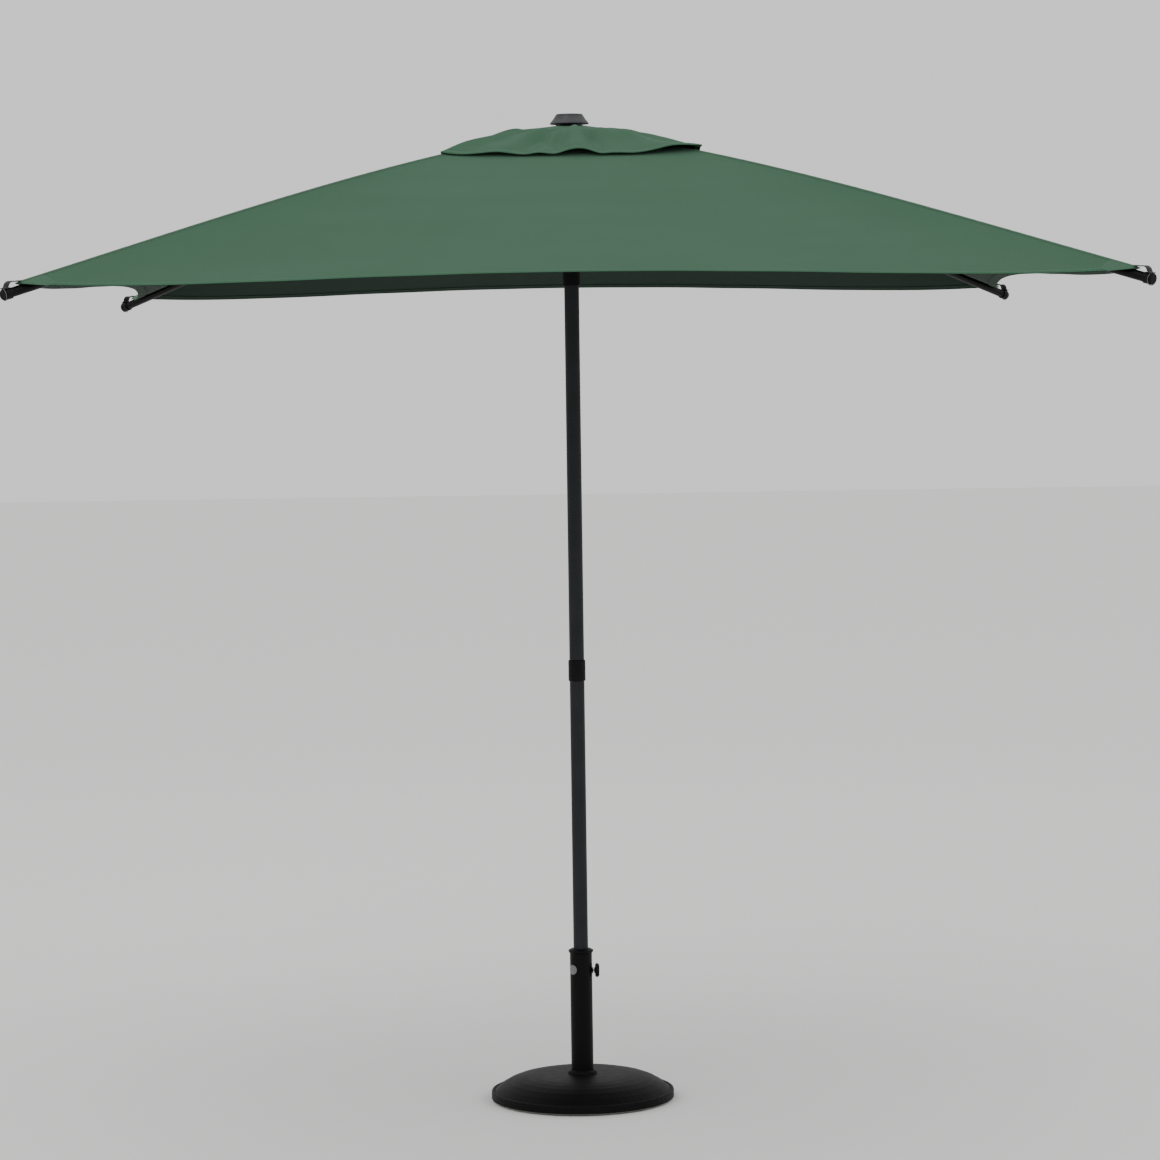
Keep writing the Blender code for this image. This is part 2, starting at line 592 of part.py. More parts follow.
def build_rib(number, azimuth):
    frame = rib_frame(azimuth)
    axis = along_x(frame)
    tube_end = RIB_LEN - END_CAP_LEN
    stations = even_steps(RIB_TUBE_START, BRACKET_S, RIB_INNER_STEPS)
    stations += even_steps(BRACKET_S, tube_end - GAP, RIB_OUTER_STEPS)[1:]
    wall = [(RIB_R, s) for s in stations] + [(RIB_R - RIB_WALL, s) for s in reversed(stations)]
    bend(lathe(f"rib_tube_{number}", wall, "black_steel", 20, axis), frame)

    outline = eye_bar(EYE_R, TONGUE_HALF_H, TONGUE_LEN)
    root = prism(f"rib_root_{number}", outline, -TONGUE_HALF_W, TONGUE_HALF_W, "black_plastic",
                 frame)
    bend(root, frame)
    drill(root, PIN_R + GAP, TONGUE_HALF_W + 0.01, frame)

    leg_in = RIB_R + GAP
    leg_out = leg_in + BRACKET_WALL
    foot = -BRACKET_DROP - BRACKET_SKIRT
    arch = [(-leg_in, foot), (-leg_in, 0.0)]
    steps = 10
    arch += [(-leg_in * math.cos(math.pi * step / steps), leg_in * math.sin(math.pi * step / steps))
             for step in range(1, steps)]
    arch += [(leg_in, 0.0), (leg_in, foot), (leg_out, foot), (leg_out, 0.0)]
    arch += [(leg_out * math.cos(math.pi * step / steps), leg_out * math.sin(math.pi * step / steps))
             for step in range(1, steps)]
    arch += [(-leg_out, 0.0), (-leg_out, foot)]
    across = frame @ Matrix.Rotation(math.radians(90), 4, "Y")
    bracket = prism(f"rib_bracket_{number}", arch, BRACKET_S - BRACKET_LEN / 2,
                    BRACKET_S + BRACKET_LEN / 2, "black_steel", across)
    bend(bracket, frame)
    joint = frame @ Matrix.Translation((BRACKET_S, BRACKET_RISE, 0))
    reach = leg_out + 0.0015
    rivet = rod("rivet", PIN_R, -reach, reach, "zinc_steel", 16, joint)
    combine(bracket, rivet, "UNION")

    plug_r = RIB_R - RIB_WALL - GAP
    cap = [(0, tube_end - END_PLUG_LEN), (plug_r, tube_end - END_PLUG_LEN), (plug_r, tube_end)]
    cap += [(END_CAP_R, tube_end), (END_CAP_R, RIB_LEN - 0.002), (END_CAP_R - 0.002, RIB_LEN)]
    cap += [(0, RIB_LEN)]
    bend(lathe(f"rib_end_cap_{number}", cap, "black_plastic", 24, axis), frame)

    build_strap(number, frame)
    build_canopy_quarter(number, azimuth)


def build_strap(number, frame):
    """Flat webbing from the canopy's corner to the end cap, arched over the tube."""
    start = CORNER_S + 0.001
    finish_s = RIB_LEN - 0.004
    steps = 8
    lower = []
    for step in range(steps + 1):
        share = step / steps
        rise = CANOPY_RISE + 0.010 * math.sin(math.pi * share) ** 2
        lower.append((start + (finish_s - start) * share, rise))
    upper = [(s, rise + STRAP_T) for s, rise in lower]
    strap = prism(f"corner_strap_{number}", lower + upper[::-1], -STRAP_W / 2, STRAP_W / 2,
                  "black_webbing", frame)
    bend(strap, frame)


def canopy_point(across, down):
    """Point on the canopy's lower face in the +X panel: across 0 is mid panel, 1 is the rib."""
    hem = HEM_MIDDLE + (HEM_CORNER - HEM_MIDDLE) * across ** 2
    outward = VENT_HOLE_HALF + (hem - VENT_HOLE_HALF) * down
    sag = SAG * (1 - across ** 6) * math.sin(math.pi * down * 0.6) / math.sin(math.pi * 0.6)
    rise = bow((outward * math.sqrt(2) - PIVOT_R) / math.cos(SLOPE)) / math.cos(SLOPE)
    return outward, outward * across, RIDGE_Z - PANEL_FALL * outward + rise - sag


def vent_point(across, down):
    """Point on the vent cover's lower face in the +X panel."""
    outward = 0.030 + (VENT_HALF - 0.030) * down
    if outward <= VENT_FLAT:
        drop = VENT_FLAT_DROP * (outward / VENT_FLAT) ** 2
    else:
        share = (outward - VENT_FLAT) / (VENT_HALF - VENT_FLAT)
        drop = VENT_FLAT_DROP + (VENT_DROP - VENT_FLAT_DROP) * share
    return outward, outward * across, SEAT_Z + GAP + VENT_CROWN - drop


def quarter_columns(columns):
    """Across values and panel side for one quarter, from the +X mid line to the +Y mid line."""
    first = [(step / columns, False) for step in range(columns + 1)]
    second = [(step / columns, True) for step in range(columns - 1, -1, -1)]
    return first + second


def add_sheet(mesh_data, grid, closed):
    """Close two layers of points into a thin solid; a closed grid wraps around."""
    rows = len(grid)
    columns = len(grid[0])
    low = [[mesh_data.verts.new(point) for point in row] for row in grid]
    lift = Vector((0, 0, FABRIC_T / math.cos(SLOPE)))
    high = [[mesh_data.verts.new(point + lift) for point in row] for row in grid]
    spans = columns if closed else columns - 1
    for row in range(rows - 1):
        for column in range(spans):
            nxt = (column + 1) % columns
            for layer in (low, high):
                mesh_data.faces.new([layer[row][column], layer[row][nxt], layer[row + 1][nxt],
                                     layer[row + 1][column]])
    for column in range(spans):
        nxt = (column + 1) % columns
        for row in (0, rows - 1):
            mesh_data.faces.new([low[row][column], low[row][nxt], high[row][nxt],
                                 high[row][column]])
    if closed:
        return
    for row in range(rows - 1):
        for column in (0, columns - 1):
            mesh_data.faces.new([low[row][column], low[row + 1][column], high[row + 1][column],
                                 high[row][column]])


def build_canopy_quarter(number, azimuth):
    place = spin(azimuth - 45.0)
    grid = []
    for row in range(ROWS):
        points = []
        for across, swapped in quarter_columns(COLUMNS):
            x, y, z = canopy_point(across, row / (ROWS - 1))
            y = max(y, GAP / 2)
            if swapped:
                x, y = y, x
            points.append(place @ Vector((x, y, z)))
        grid.append(points)
    mesh_data = bmesh.new()
    add_sheet(mesh_data, grid, False)
    finish(f"canopy_quarter_{number}", mesh_data, "green_canopy")


def build_vent():
    grid = []
    for row in range(VENT_ROWS):
        points = []
        for azimuth in RIB_AZIMUTHS:
            place = spin(azimuth - 45.0)
            for across, swapped in quarter_columns(VENT_COLUMNS)[:-1]:
                x, y, z = vent_point(across, row / (VENT_ROWS - 1))
                if swapped:
                    x, y = y, x
                points.append(place @ Vector((x, y, z)))
        grid.append(points)
    mesh_data = bmesh.new()
    add_sheet(mesh_data, grid, True)
    finish("vent_cover", mesh_data, "green_canopy")


def build_strut(number, azimuth):
    """Steel tube with flat pierced bars fixed in both ends."""
    frame = strut_frame(azimuth)
    axis = along_x(frame)
    name = f"strut_{number}"
    strut = tube(name, STRUT_R, STRUT_R - STRUT_WALL, STRUT_TUBE_START,
                 STRUT_LEN - STRUT_TUBE_START, "black_steel", 24, axis)
    far = frame @ Matrix.Translation((STRUT_LEN, 0, 0)) @ Matrix.Rotation(math.pi, 4, "Z")
    for place in (frame, far):
        outline = eye_bar(STRUT_EYE_R, STRUT_BAR_HALF_H, STRUT_BAR_LEN)
        bar = prism("bar", outline, -STRUT_EYE_HALF_W, STRUT_EYE_HALF_W, "black_steel", place)
        combine(strut, bar, "UNION")
        drill(strut, PIN_R + GAP, STRUT_EYE_HALF_W + 0.01, place)


def main():
    for obj in list(bpy.data.objects):
        bpy.data.objects.remove(obj, do_unlink=True)
    build_base()
    build_clamp()
    build_mast()
    build_crown()
    build_runner()
    build_vent()
    for number, azimuth in enumerate(RIB_AZIMUTHS, start=1):
        build_rib(number, azimuth)
        build_strut(number, azimuth)


main()
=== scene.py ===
"""Looks of a square patio umbrella with a vented canopy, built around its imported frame.

The file is laid out as an add-on: a panel in the 3D view's sidebar lists one operator for
each group of pieces and one for the stage. Run as a script, it makes everything in order.
"""

import json
import math

import bmesh
import bpy
from bpy.props import (FloatProperty, FloatVectorProperty, IntProperty, PointerProperty,
                       StringProperty)
from mathutils import Matrix, Vector, noise


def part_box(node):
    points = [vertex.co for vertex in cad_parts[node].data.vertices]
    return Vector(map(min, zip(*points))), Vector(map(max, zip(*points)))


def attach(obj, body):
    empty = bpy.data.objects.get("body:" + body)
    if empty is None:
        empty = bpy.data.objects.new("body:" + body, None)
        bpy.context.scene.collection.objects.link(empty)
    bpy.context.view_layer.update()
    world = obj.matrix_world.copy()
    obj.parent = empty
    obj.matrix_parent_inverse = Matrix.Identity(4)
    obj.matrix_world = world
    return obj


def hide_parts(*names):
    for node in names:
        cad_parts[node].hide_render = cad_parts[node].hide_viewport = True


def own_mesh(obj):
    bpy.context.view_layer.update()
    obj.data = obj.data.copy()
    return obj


bl_info = {
    "name": "Patio Umbrella Looks",
    "version": (1, 0, 0),
    "blender": (4, 5, 0),
    "location": "3D View > Sidebar > Umbrella",
    "description": "Cloth, webbing, fasteners and finishes of a square patio umbrella",
    "category": "Add Mesh",
}

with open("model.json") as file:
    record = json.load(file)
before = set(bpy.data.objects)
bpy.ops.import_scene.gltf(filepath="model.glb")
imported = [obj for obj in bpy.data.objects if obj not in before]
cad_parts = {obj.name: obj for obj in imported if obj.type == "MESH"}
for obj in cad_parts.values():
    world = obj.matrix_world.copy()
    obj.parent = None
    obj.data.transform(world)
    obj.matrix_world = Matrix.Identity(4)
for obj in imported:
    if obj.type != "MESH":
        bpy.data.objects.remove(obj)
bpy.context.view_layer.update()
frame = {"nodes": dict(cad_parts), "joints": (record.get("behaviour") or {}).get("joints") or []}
NODES = frame["nodes"]

# ---- the linkage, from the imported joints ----
HINGES = {joint["name"]: joint for joint in frame["joints"]}
RIBS = (1, 2, 3, 4)
CROWN_PIVOT = Vector(HINGES["rib_1_fold"]["pos_m"])
BRACKET_PIVOT = Vector(HINGES["strut_1_hinge"]["pos_m"])
CROWN_Z = CROWN_PIVOT.z
PIVOT_R = math.hypot(CROWN_PIVOT.x, CROWN_PIVOT.y)
BRACKET_R = math.hypot(BRACKET_PIVOT.x, BRACKET_PIVOT.y)
SLOPE = math.radians(12.65)
TIP_HALF = 1.2715
TIP_R = TIP_HALF * math.sqrt(2)
RIB_LEN = (TIP_R - PIVOT_R) / math.cos(SLOPE)
RIB_BOW = 0.027
BOW_PEAK = 1.9
STRUT_LEN = (BRACKET_PIVOT - CROWN_PIVOT).length
LINK = math.atan2(CROWN_Z - BRACKET_PIVOT.z, BRACKET_R - PIVOT_R)
BRACKET_S = STRUT_LEN * math.cos(LINK - SLOPE)
BRACKET_RISE = -STRUT_LEN * math.sin(LINK - SLOPE)
RIB_R = 0.011
END_CAP_R = 0.0122
BRACKET_GAP = 0.0003
BRACKET_WALL = 0.0018

# ---- the canopy's cut, as the CAD solids have it ----
HEM_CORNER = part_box("canopy_quarter_1")[1].x
HEM_MIDDLE = 1.132
HOLE_HALF = 0.200
SAG = 0.030
CLOTH_RISE = 0.0169
CLOTH_T = 0.0009
CAD_CLOTH_T = 0.0012
PANEL_FALL = math.tan(SLOPE) * math.sqrt(2)
RIDGE_Z = CROWN_Z + CLOTH_RISE / math.cos(SLOPE) + PIVOT_R * math.tan(SLOPE)
TOP_LIFT = CAD_CLOTH_T / math.cos(SLOPE)
CORNER_S = (HEM_CORNER * math.sqrt(2) - PIVOT_R) / math.cos(SLOPE)
VENT_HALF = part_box("vent_cover")[1].x
VENT_TOP_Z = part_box("vent_cover")[1].z
FINIAL_SEAT_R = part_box("finial_cap")[1].x
VENT_HEM = 0.014
CAP_HOLE_R = 0.0175
VENT_FALL = 0.085
VENT_CLEAR = 0.0045

# ---- sewing and weave ----
STITCH_PITCH = 0.0045
STITCH_SHARE = 0.68
SEAM_ROW = 0.0048
WEAVE_PITCH = 0.0022
WEBBING_W = 0.020
WEBBING_T = 0.0018
WEBBING_RIBS = 0.002
WEBBING_CORDS = 0.0024

# ---- the camera's bearing round the mast, and its turn, tilt and roll ----
CAMERA_BEARING = math.radians(0.765)
CAMERA_HEADING = math.radians(0.831)
CAMERA_PITCH = math.radians(3.54)
CAMERA_ROLL = math.radians(0.80)


# ---- settings that a user would change ----
class ClothSettings(bpy.types.PropertyGroup):
    colour: StringProperty(name="Cloth colour", description="Hex colour of the canopy cloth",
                           default="#3f614c")
    # underside colour: painted shade, since the cloth is the same colour on both sides
    underside_shade_colour: StringProperty(name="Underside shade colour", default="#15271c",
                                   description="Hex colour of the cloth's underside")
    thread_colour: StringProperty(name="Thread colour", default="#223629",
                                  description="Hex colour of the sewing thread")
    hem_width: FloatProperty(name="Hem width", description="Cloth turned under at the hem",
                             default=0.022, unit="LENGTH")
    seam_width: FloatProperty(name="Seam width", description="Felled seam along each rib",
                              default=0.016, unit="LENGTH")
    wrinkle: FloatProperty(name="Wrinkle height", description="Height of the tension wrinkles",
                           default=0.0026, unit="LENGTH")
    ruffle: FloatProperty(name="Ruffle height", description="Height of the vent cover's waves",
                          default=0.011, unit="LENGTH")
    folded_width: FloatProperty(name="Folded share", default=0.125, min=0.05, max=1.0,
                                description="Share of a panel's width that shows when folded")
    columns: IntProperty(name="Columns", description="Cells from mid panel to rib", default=56)
    rows: IntProperty(name="Rows", description="Cells from vent opening to hem", default=84)


class FrameSettings(bpy.types.PropertyGroup):
    mast_colour: StringProperty(name="Mast colour", description="Hex colour of the mast's coating",
                                default="#27282a")
    steel_colour: StringProperty(name="Steel colour", description="Hex colour of the coated steel",
                                 default="#080809")
    plastic_colour: StringProperty(name="Plastic colour", description="Hex colour of the mouldings",
                                   default="#0e0e0f")
    cover_colour: StringProperty(name="Base colour", description="Hex colour of the base cover",
                                 default="#0a0a0b")
    finial_colour: StringProperty(name="Finial colour", description="Hex colour of the top cap",
                                  default="#454648")
    badge_colour: StringProperty(name="Badge colour", description="Hex colour of the blank badge",
                                 default="#767677")


class StageSettings(bpy.types.PropertyGroup):
    camera_distance: FloatProperty(name="Camera distance", default=9.61, unit="LENGTH",
                                   description="Level distance from the mast to the camera")
    camera_height: FloatProperty(name="Camera height", description="Above the floor",
                                 default=1.934, unit="LENGTH")
    lens: FloatProperty(name="Lens", description="Focal length in mm on a 36 mm sensor",
                        default=116.84)
    floor_colour: FloatVectorProperty(name="Floor colour", subtype="COLOR", size=3,
                                      description="Pale floor", default=(0.90, 0.90, 0.89))


SETTINGS = (("umbrella_cloth", ClothSettings), ("umbrella_frame", FrameSettings),
            ("umbrella_stage", StageSettings))


def settings(name):
    return getattr(bpy.context.scene, name)


# ---- colours and shader nodes ----
def linear(hex_colour):
    """sRGB hex to linear red, green, blue, alpha."""
    values = []
    for place in (1, 3, 5):
        share = int(hex_colour[place:place + 2], 16) / 255
        values.append(share / 12.92 if share <= 0.04045 else ((share + 0.055) / 1.055) ** 2.4)
    return (*values, 1.0)


def shade(colour, factor):
    return (colour[0] * factor, colour[1] * factor, colour[2] * factor, 1.0)


def add_node(tree, kind, inputs=(), **values):
    """One shader node with its settings, and its inputs set or linked."""
    node = tree.nodes.new(kind)
    for name, value in values.items():
        setattr(node, name, value)
    for key, value in dict(inputs).items():
        if isinstance(value, bpy.types.NodeSocket):
            tree.links.new(value, node.inputs[key])
        else:
            node.inputs[key].default_value = value
    return node


def new_material(name, roughness, metallic=0.0):
    material = bpy.data.materials.new(name)
    material.use_nodes = True
    tree = material.node_tree
    shader = tree.nodes["Principled BSDF"]
    shader.inputs["Roughness"].default_value = roughness
    shader.inputs["Metallic"].default_value = metallic
    if not metallic:
        shader.inputs["Specular IOR Level"].default_value = 0.10
    return material, tree, shader


def noise_at(tree, vector, size_mm, detail=2.0, roughness=0.5):
    """Noise whose grains are about size_mm across, for coordinates in metres."""
    settings_in = {"Vector": vector, "Scale": 1000.0 / size_mm, "Detail": detail}
    settings_in["Roughness"] = roughness
    return add_node(tree, "ShaderNodeTexNoise", settings_in).outputs["Fac"]


def ramp(tree, fac, low, high, colour_low, colour_high):
    node = add_node(tree, "ShaderNodeValToRGB", {"Fac": fac})
    node.color_ramp.elements[0].position = low
    node.color_ramp.elements[1].position = high
    node.color_ramp.elements[0].color = colour_low
    node.color_ramp.elements[1].color = colour_high
    return node.outputs["Color"]


def math_node(tree, operation, first, second=0.0, third=0.0):
    node = add_node(tree, "ShaderNodeMath", {0: first, 1: second, 2: third}, operation=operation)
    return node.outputs["Value"]


def bump(tree, shader, height, distance, strength=1.0, under=None):
    inputs = {"Height": height, "Distance": distance, "Strength": strength}
    if under is not None:
        inputs["Normal"] = under
    node = add_node(tree, "ShaderNodeBump", inputs)
    tree.links.new(node.outputs["Normal"], shader.inputs["Normal"])
    return node.outputs["Normal"]


def object_coords(tree):
    return add_node(tree, "ShaderNodeTexCoord").outputs["Object"]


def woven_polyester(name, colour):
    """Solution-dyed woven polyester: matt, a dry cross weave and a little heather and fading.

    The real threads are 0.4 mm apart; they are drawn 2.2 mm apart so that the weave shows. The
    underside is the same cloth with painted shade: a darker colour for the dimmer light under the
    canopy, made as a second finish.
    """
    cloth = settings("umbrella_cloth")
    base = linear(colour)
    material, tree, shader = new_material(name, 0.82)
    uv = add_node(tree, "ShaderNodeUVMap", uv_map="cloth").outputs["UV"]
    place = add_node(tree, "ShaderNodeSeparateXYZ", {"Vector": uv})
    across = place.outputs["X"]
    down = place.outputs["Y"]
    pitch = 2 * math.pi / WEAVE_PITCH
    warp = math_node(tree, "SINE", math_node(tree, "MULTIPLY", across, pitch))
    weft = math_node(tree, "SINE", math_node(tree, "MULTIPLY", down, pitch))
    weave = math_node(tree, "MULTIPLY", warp, weft)

    heather = noise_at(tree, uv, 3.0, 2.0, 0.6)
    fading = noise_at(tree, uv, 260.0, 3.0, 0.55)
    soil = noise_at(tree, uv, 900.0, 2.0, 0.5)
    fine = ramp(tree, heather, 0.30, 0.72, shade(base, 0.90), shade(base, 1.10))
    wide = ramp(tree, fading, 0.25, 0.78, shade(base, 0.93), shade(base, 1.07))
    mixed = add_node(tree, "ShaderNodeMix", {0: 0.5, 6: fine, 7: wide}, data_type="RGBA")
    dusty = ramp(tree, soil, 0.35, 0.75, (1, 1, 1, 1), (0.93, 0.95, 0.92, 1))
    tinted = add_node(tree, "ShaderNodeMix", {0: 1.0, 6: mixed.outputs[2], 7: dusty},
                      data_type="RGBA", blend_type="MULTIPLY")

    # lockstitch rows: one at the hem's inner edge, one near its outer edge
    rows = []
    for distance in (cloth.hem_width - 0.003, 0.004):
        away = math_node(tree, "ABSOLUTE", math_node(tree, "SUBTRACT", down, distance))
        rows.append(math_node(tree, "LESS_THAN", away, 0.0009))
    row = math_node(tree, "MAXIMUM", rows[0], rows[1])
    dash = math_node(tree, "FRACT", math_node(tree, "MULTIPLY", across, 1 / STITCH_PITCH))
    stitch = math_node(tree, "MULTIPLY", row, math_node(tree, "LESS_THAN", dash, STITCH_SHARE))
    thread = linear(cloth.thread_colour)
    hem = math_node(tree, "LESS_THAN", down, cloth.hem_width)
    lighter = add_node(tree, "ShaderNodeMix", {0: hem, 6: (1, 1, 1, 1), 7: (1.12, 1.12, 1.12, 1)},
                       data_type="RGBA")
    doubled = add_node(tree, "ShaderNodeMix", {0: 1.0, 6: tinted.outputs[2], 7: lighter.outputs[2]},
                       data_type="RGBA", blend_type="MULTIPLY")
    sewn = add_node(tree, "ShaderNodeMix", {0: stitch, 6: doubled.outputs[2], 7: thread},
                    data_type="RGBA")
    tree.links.new(sewn.outputs[2], shader.inputs["Base Color"])

    under = bump(tree, shader, weave, 0.00022, 0.55)
    under = bump(tree, shader, stitch, 0.0006, 0.6, under)
    creases = noise_at(tree, uv, 46.0, 3.0, 0.5)
    bump(tree, shader, creases, 0.0016, 0.5, under)
    shader.inputs["Sheen Weight"].default_value = 0.05
    shader.inputs["Sheen Roughness"].default_value = 0.5
    shader.inputs["Specular IOR Level"].default_value = 0.04
    return material


def seam_tape():
    """The same cloth folded twice and felled: two rows of lockstitch and tighter puckers."""
    cloth = settings("umbrella_cloth")
    base = linear(cloth.colour)
    material, tree, shader = new_material("felled_seam_green", 0.84)
    uv = add_node(tree, "ShaderNodeUVMap", uv_map="cloth").outputs["UV"]
    place = add_node(tree, "ShaderNodeSeparateXYZ", {"Vector": uv})
    along = place.outputs["X"]
    side = place.outputs["Y"]
    away = math_node(tree, "ABSOLUTE", side)
    offset = math_node(tree, "ABSOLUTE", math_node(tree, "SUBTRACT", away, SEAM_ROW))
    row = math_node(tree, "LESS_THAN", offset, 0.0008)
    dash = math_node(tree, "FRACT", math_node(tree, "MULTIPLY", along, 1 / STITCH_PITCH))
    stitch = math_node(tree, "MULTIPLY", row, math_node(tree, "LESS_THAN", dash, STITCH_SHARE))
    pucker = noise_at(tree, uv, 9.0, 2.0, 0.5)
    tone = ramp(tree, pucker, 0.3, 0.7, shade(base, 0.92), shade(base, 1.06))
    sewn = add_node(tree, "ShaderNodeMix", {0: stitch, 6: tone, 7: linear(cloth.thread_colour)},
                    data_type="RGBA")
    tree.links.new(sewn.outputs[2], shader.inputs["Base Color"])
    under = bump(tree, shader, pucker, 0.0009, 0.5)
    bump(tree, shader, stitch, 0.0006, 0.6, under)
    shader.inputs["Sheen Weight"].default_value = 0.05
    return material


def powder_coat(name, colour, roughness, peel_mm):
    """Baked powder coat on steel: a faint orange peel and small changes in gloss."""
    base = linear(colour)
    material, tree, shader = new_material(name, roughness)
    coords = object_coords(tree)
    peel = noise_at(tree, coords, peel_mm, 2.0, 0.5)
    cloud = noise_at(tree, coords, 70.0, 3.0, 0.55)
    tone = ramp(tree, cloud, 0.3, 0.75, shade(base, 0.86), shade(base, 1.14))
    tree.links.new(tone, shader.inputs["Base Color"])
    gloss = add_node(tree, "ShaderNodeMapRange", {"Value": cloud, "To Min": roughness - 0.07,
                                                   "To Max": roughness + 0.08})
    tree.links.new(gloss.outputs["Result"], shader.inputs["Roughness"])
    bump(tree, shader, peel, 0.00012, 0.5)
    return material


def moulded_plastic(name, colour, roughness, grain_mm, depth):
    """Injection-moulded plastic with a spark-eroded grain and a few rubbed, paler patches."""
    base = linear(colour)
    material, tree, shader = new_material(name, roughness)
    coords = object_coords(tree)
    grain = noise_at(tree, coords, grain_mm, 3.0, 0.6)
    scuff = noise_at(tree, coords, 34.0, 4.0, 0.6)
    tone = ramp(tree, scuff, 0.45, 0.82, shade(base, 0.95), shade(base, 1.45))
    tree.links.new(tone, shader.inputs["Base Color"])
    gloss = add_node(tree, "ShaderNodeMapRange", {"Value": scuff, "To Min": roughness - 0.05,
                                                   "To Max": roughness + 0.12})
    tree.links.new(gloss.outputs["Result"], shader.inputs["Roughness"])
    bump(tree, shader, grain, depth, 0.5)
    return material


def bright_metal(name, colour, roughness, streak_mm):
    """Plated steel: metallic, with fine streaks from drawing or tumbling."""
    base = linear(colour)
    material, tree, shader = new_material(name, roughness, 1.0)
    coords = object_coords(tree)
    streak = noise_at(tree, coords, streak_mm, 3.0, 0.55)
    tone = ramp(tree, streak, 0.3, 0.7, shade(base, 0.88), shade(base, 1.05))
    tree.links.new(tone, shader.inputs["Base Color"])
    gloss = add_node(tree, "ShaderNodeMapRange", {"Value": streak, "To Min": roughness - 0.06,
                                                   "To Max": roughness + 0.08})
    tree.links.new(gloss.outputs["Result"], shader.inputs["Roughness"])
    bump(tree, shader, streak, 0.00004, 0.4)
    return material


def polyester_webbing():
    """Black plain-woven webbing with ribs across it every 2 mm."""
    base = linear("#17171a")
    material, tree, shader = new_material("polyester_webbing_black", 0.85)
    uv = add_node(tree, "ShaderNodeUVMap", uv_map="cloth").outputs["UV"]
    place = add_node(tree, "ShaderNodeSeparateXYZ", {"Vector": uv})
    ribs = math_node(tree, "SINE", math_node(tree, "MULTIPLY", place.outputs["X"],
                                             2 * math.pi / WEBBING_RIBS))
    cords = math_node(tree, "SINE", math_node(tree, "MULTIPLY", place.outputs["Y"],
                                              2 * math.pi / WEBBING_CORDS))
    weave = math_node(tree, "MULTIPLY", ribs, cords)
    fuzz = noise_at(tree, uv, 1.6, 2.0, 0.6)
    tone = ramp(tree, fuzz, 0.3, 0.75, shade(base, 0.8), shade(base, 1.5))
    tree.links.new(tone, shader.inputs["Base Color"])
    under = bump(tree, shader, weave, 0.0003, 0.7)
    bump(tree, shader, fuzz, 0.0002, 0.5, under)
    shader.inputs["Sheen Weight"].default_value = 0.2
    return material


def cast_concrete():
    """Grey cast concrete: sandy, pitted and matt."""
    material, tree, shader = new_material("cast_concrete", 0.92)
    coords = object_coords(tree)
    sand = noise_at(tree, coords, 2.0, 4.0, 0.65)
    tone = ramp(tree, sand, 0.25, 0.8, linear("#77746e"), linear("#a29f97"))
    tree.links.new(tone, shader.inputs["Base Color"])
    bump(tree, shader, sand, 0.0008, 0.8)
    return material


def stage_floor_finish():
    material, _, shader = new_material("pale_floor", 0.95)
    colour = settings("umbrella_stage").floor_colour
    shader.inputs["Base Color"].default_value = (*colour, 1.0)
    shader.inputs["Specular IOR Level"].default_value = 0.0
    return material


def finish(name):
    """The finish of that name, made when it is first asked for."""
    if name in bpy.data.materials:
        return bpy.data.materials[name]
    paint = settings("umbrella_frame")
    cloth = settings("umbrella_cloth")
    makers = {
        "woven_polyester_green": lambda: woven_polyester("woven_polyester_green", cloth.colour),
        # painted shade: the cloth's underside, darker for the dimmer light under the canopy
        "painted_shade_underside_cloth": lambda: woven_polyester("painted_shade_underside_cloth",
                                                         cloth.underside_shade_colour),
        "felled_seam_green": seam_tape,
        "polyester_webbing_black": polyester_webbing,
        "cast_concrete": cast_concrete,
        "powder_coat_black": lambda: powder_coat("powder_coat_black", paint.steel_colour,
                                                 0.42, 1.4),
        "powder_coat_charcoal": lambda: powder_coat("powder_coat_charcoal", paint.mast_colour,
                                                    0.40, 1.2),
        "moulded_nylon_black": lambda: moulded_plastic("moulded_nylon_black",
                                                       paint.plastic_colour, 0.46, 0.7, 0.00008),
        "moulded_cover_black": lambda: moulded_plastic("moulded_cover_black", paint.cover_colour,
                                                       0.52, 1.1, 0.00016),
        "moulded_grey": lambda: moulded_plastic("moulded_grey", paint.finial_colour, 0.42, 0.8,
                                                0.00008),
        "satin_badge": lambda: moulded_plastic("satin_badge", paint.badge_colour, 0.35, 0.6,
                                               0.00005),
        "moulded_rubber": lambda: moulded_plastic("moulded_rubber", "#1b1b1b", 0.8, 1.5, 0.0002),
        "zinc_plated_steel": lambda: bright_metal("zinc_plated_steel", "#b9babd", 0.36, 3.0),
        "dull_steel": lambda: bright_metal("dull_steel", "#6c6d70", 0.40, 4.0),
        "pale_floor": stage_floor_finish,
    }
    return makers[name]()


def paint_with(obj, name):
    obj.data.materials.clear()
    obj.data.materials.append(finish(name))


# ---- placing and modelling helpers ----
def spin(angle):
    return Matrix.Rotation(angle, 4, "Z")


def azimuth_of(rib):
    place = HINGES[f"rib_{rib}_fold"]["pos_m"]
    return math.atan2(place[1], place[0])


def bow(distance):
    """Height of a bent rib's axis above the straight line from its pivot to its tip."""
    share = min(max(distance / RIB_LEN, 0.0), 1.0)
    return RIB_BOW * BOW_PEAK * share * (1 - share) * (3 - 2 * share)


def rib_frame(rib):
    """At a crown pivot: local X runs along the open rib, Y is up and Z is sideways."""
    frame_at = spin(azimuth_of(rib)) @ Matrix.Translation((PIVOT_R, 0, CROWN_Z))
    frame_at = frame_at @ Matrix.Rotation(math.radians(90), 4, "X")
    return frame_at @ Matrix.Rotation(-SLOPE, 4, "Z")


def deselect():
    if bpy.context.mode != "OBJECT":
        bpy.ops.object.mode_set(mode="OBJECT")
    bpy.ops.object.select_all(action="DESELECT")


def take(name):
    """Name the primitive that was just added, and its mesh."""
    obj = bpy.context.active_object
    obj.name = name
    obj.data.name = name
    return obj


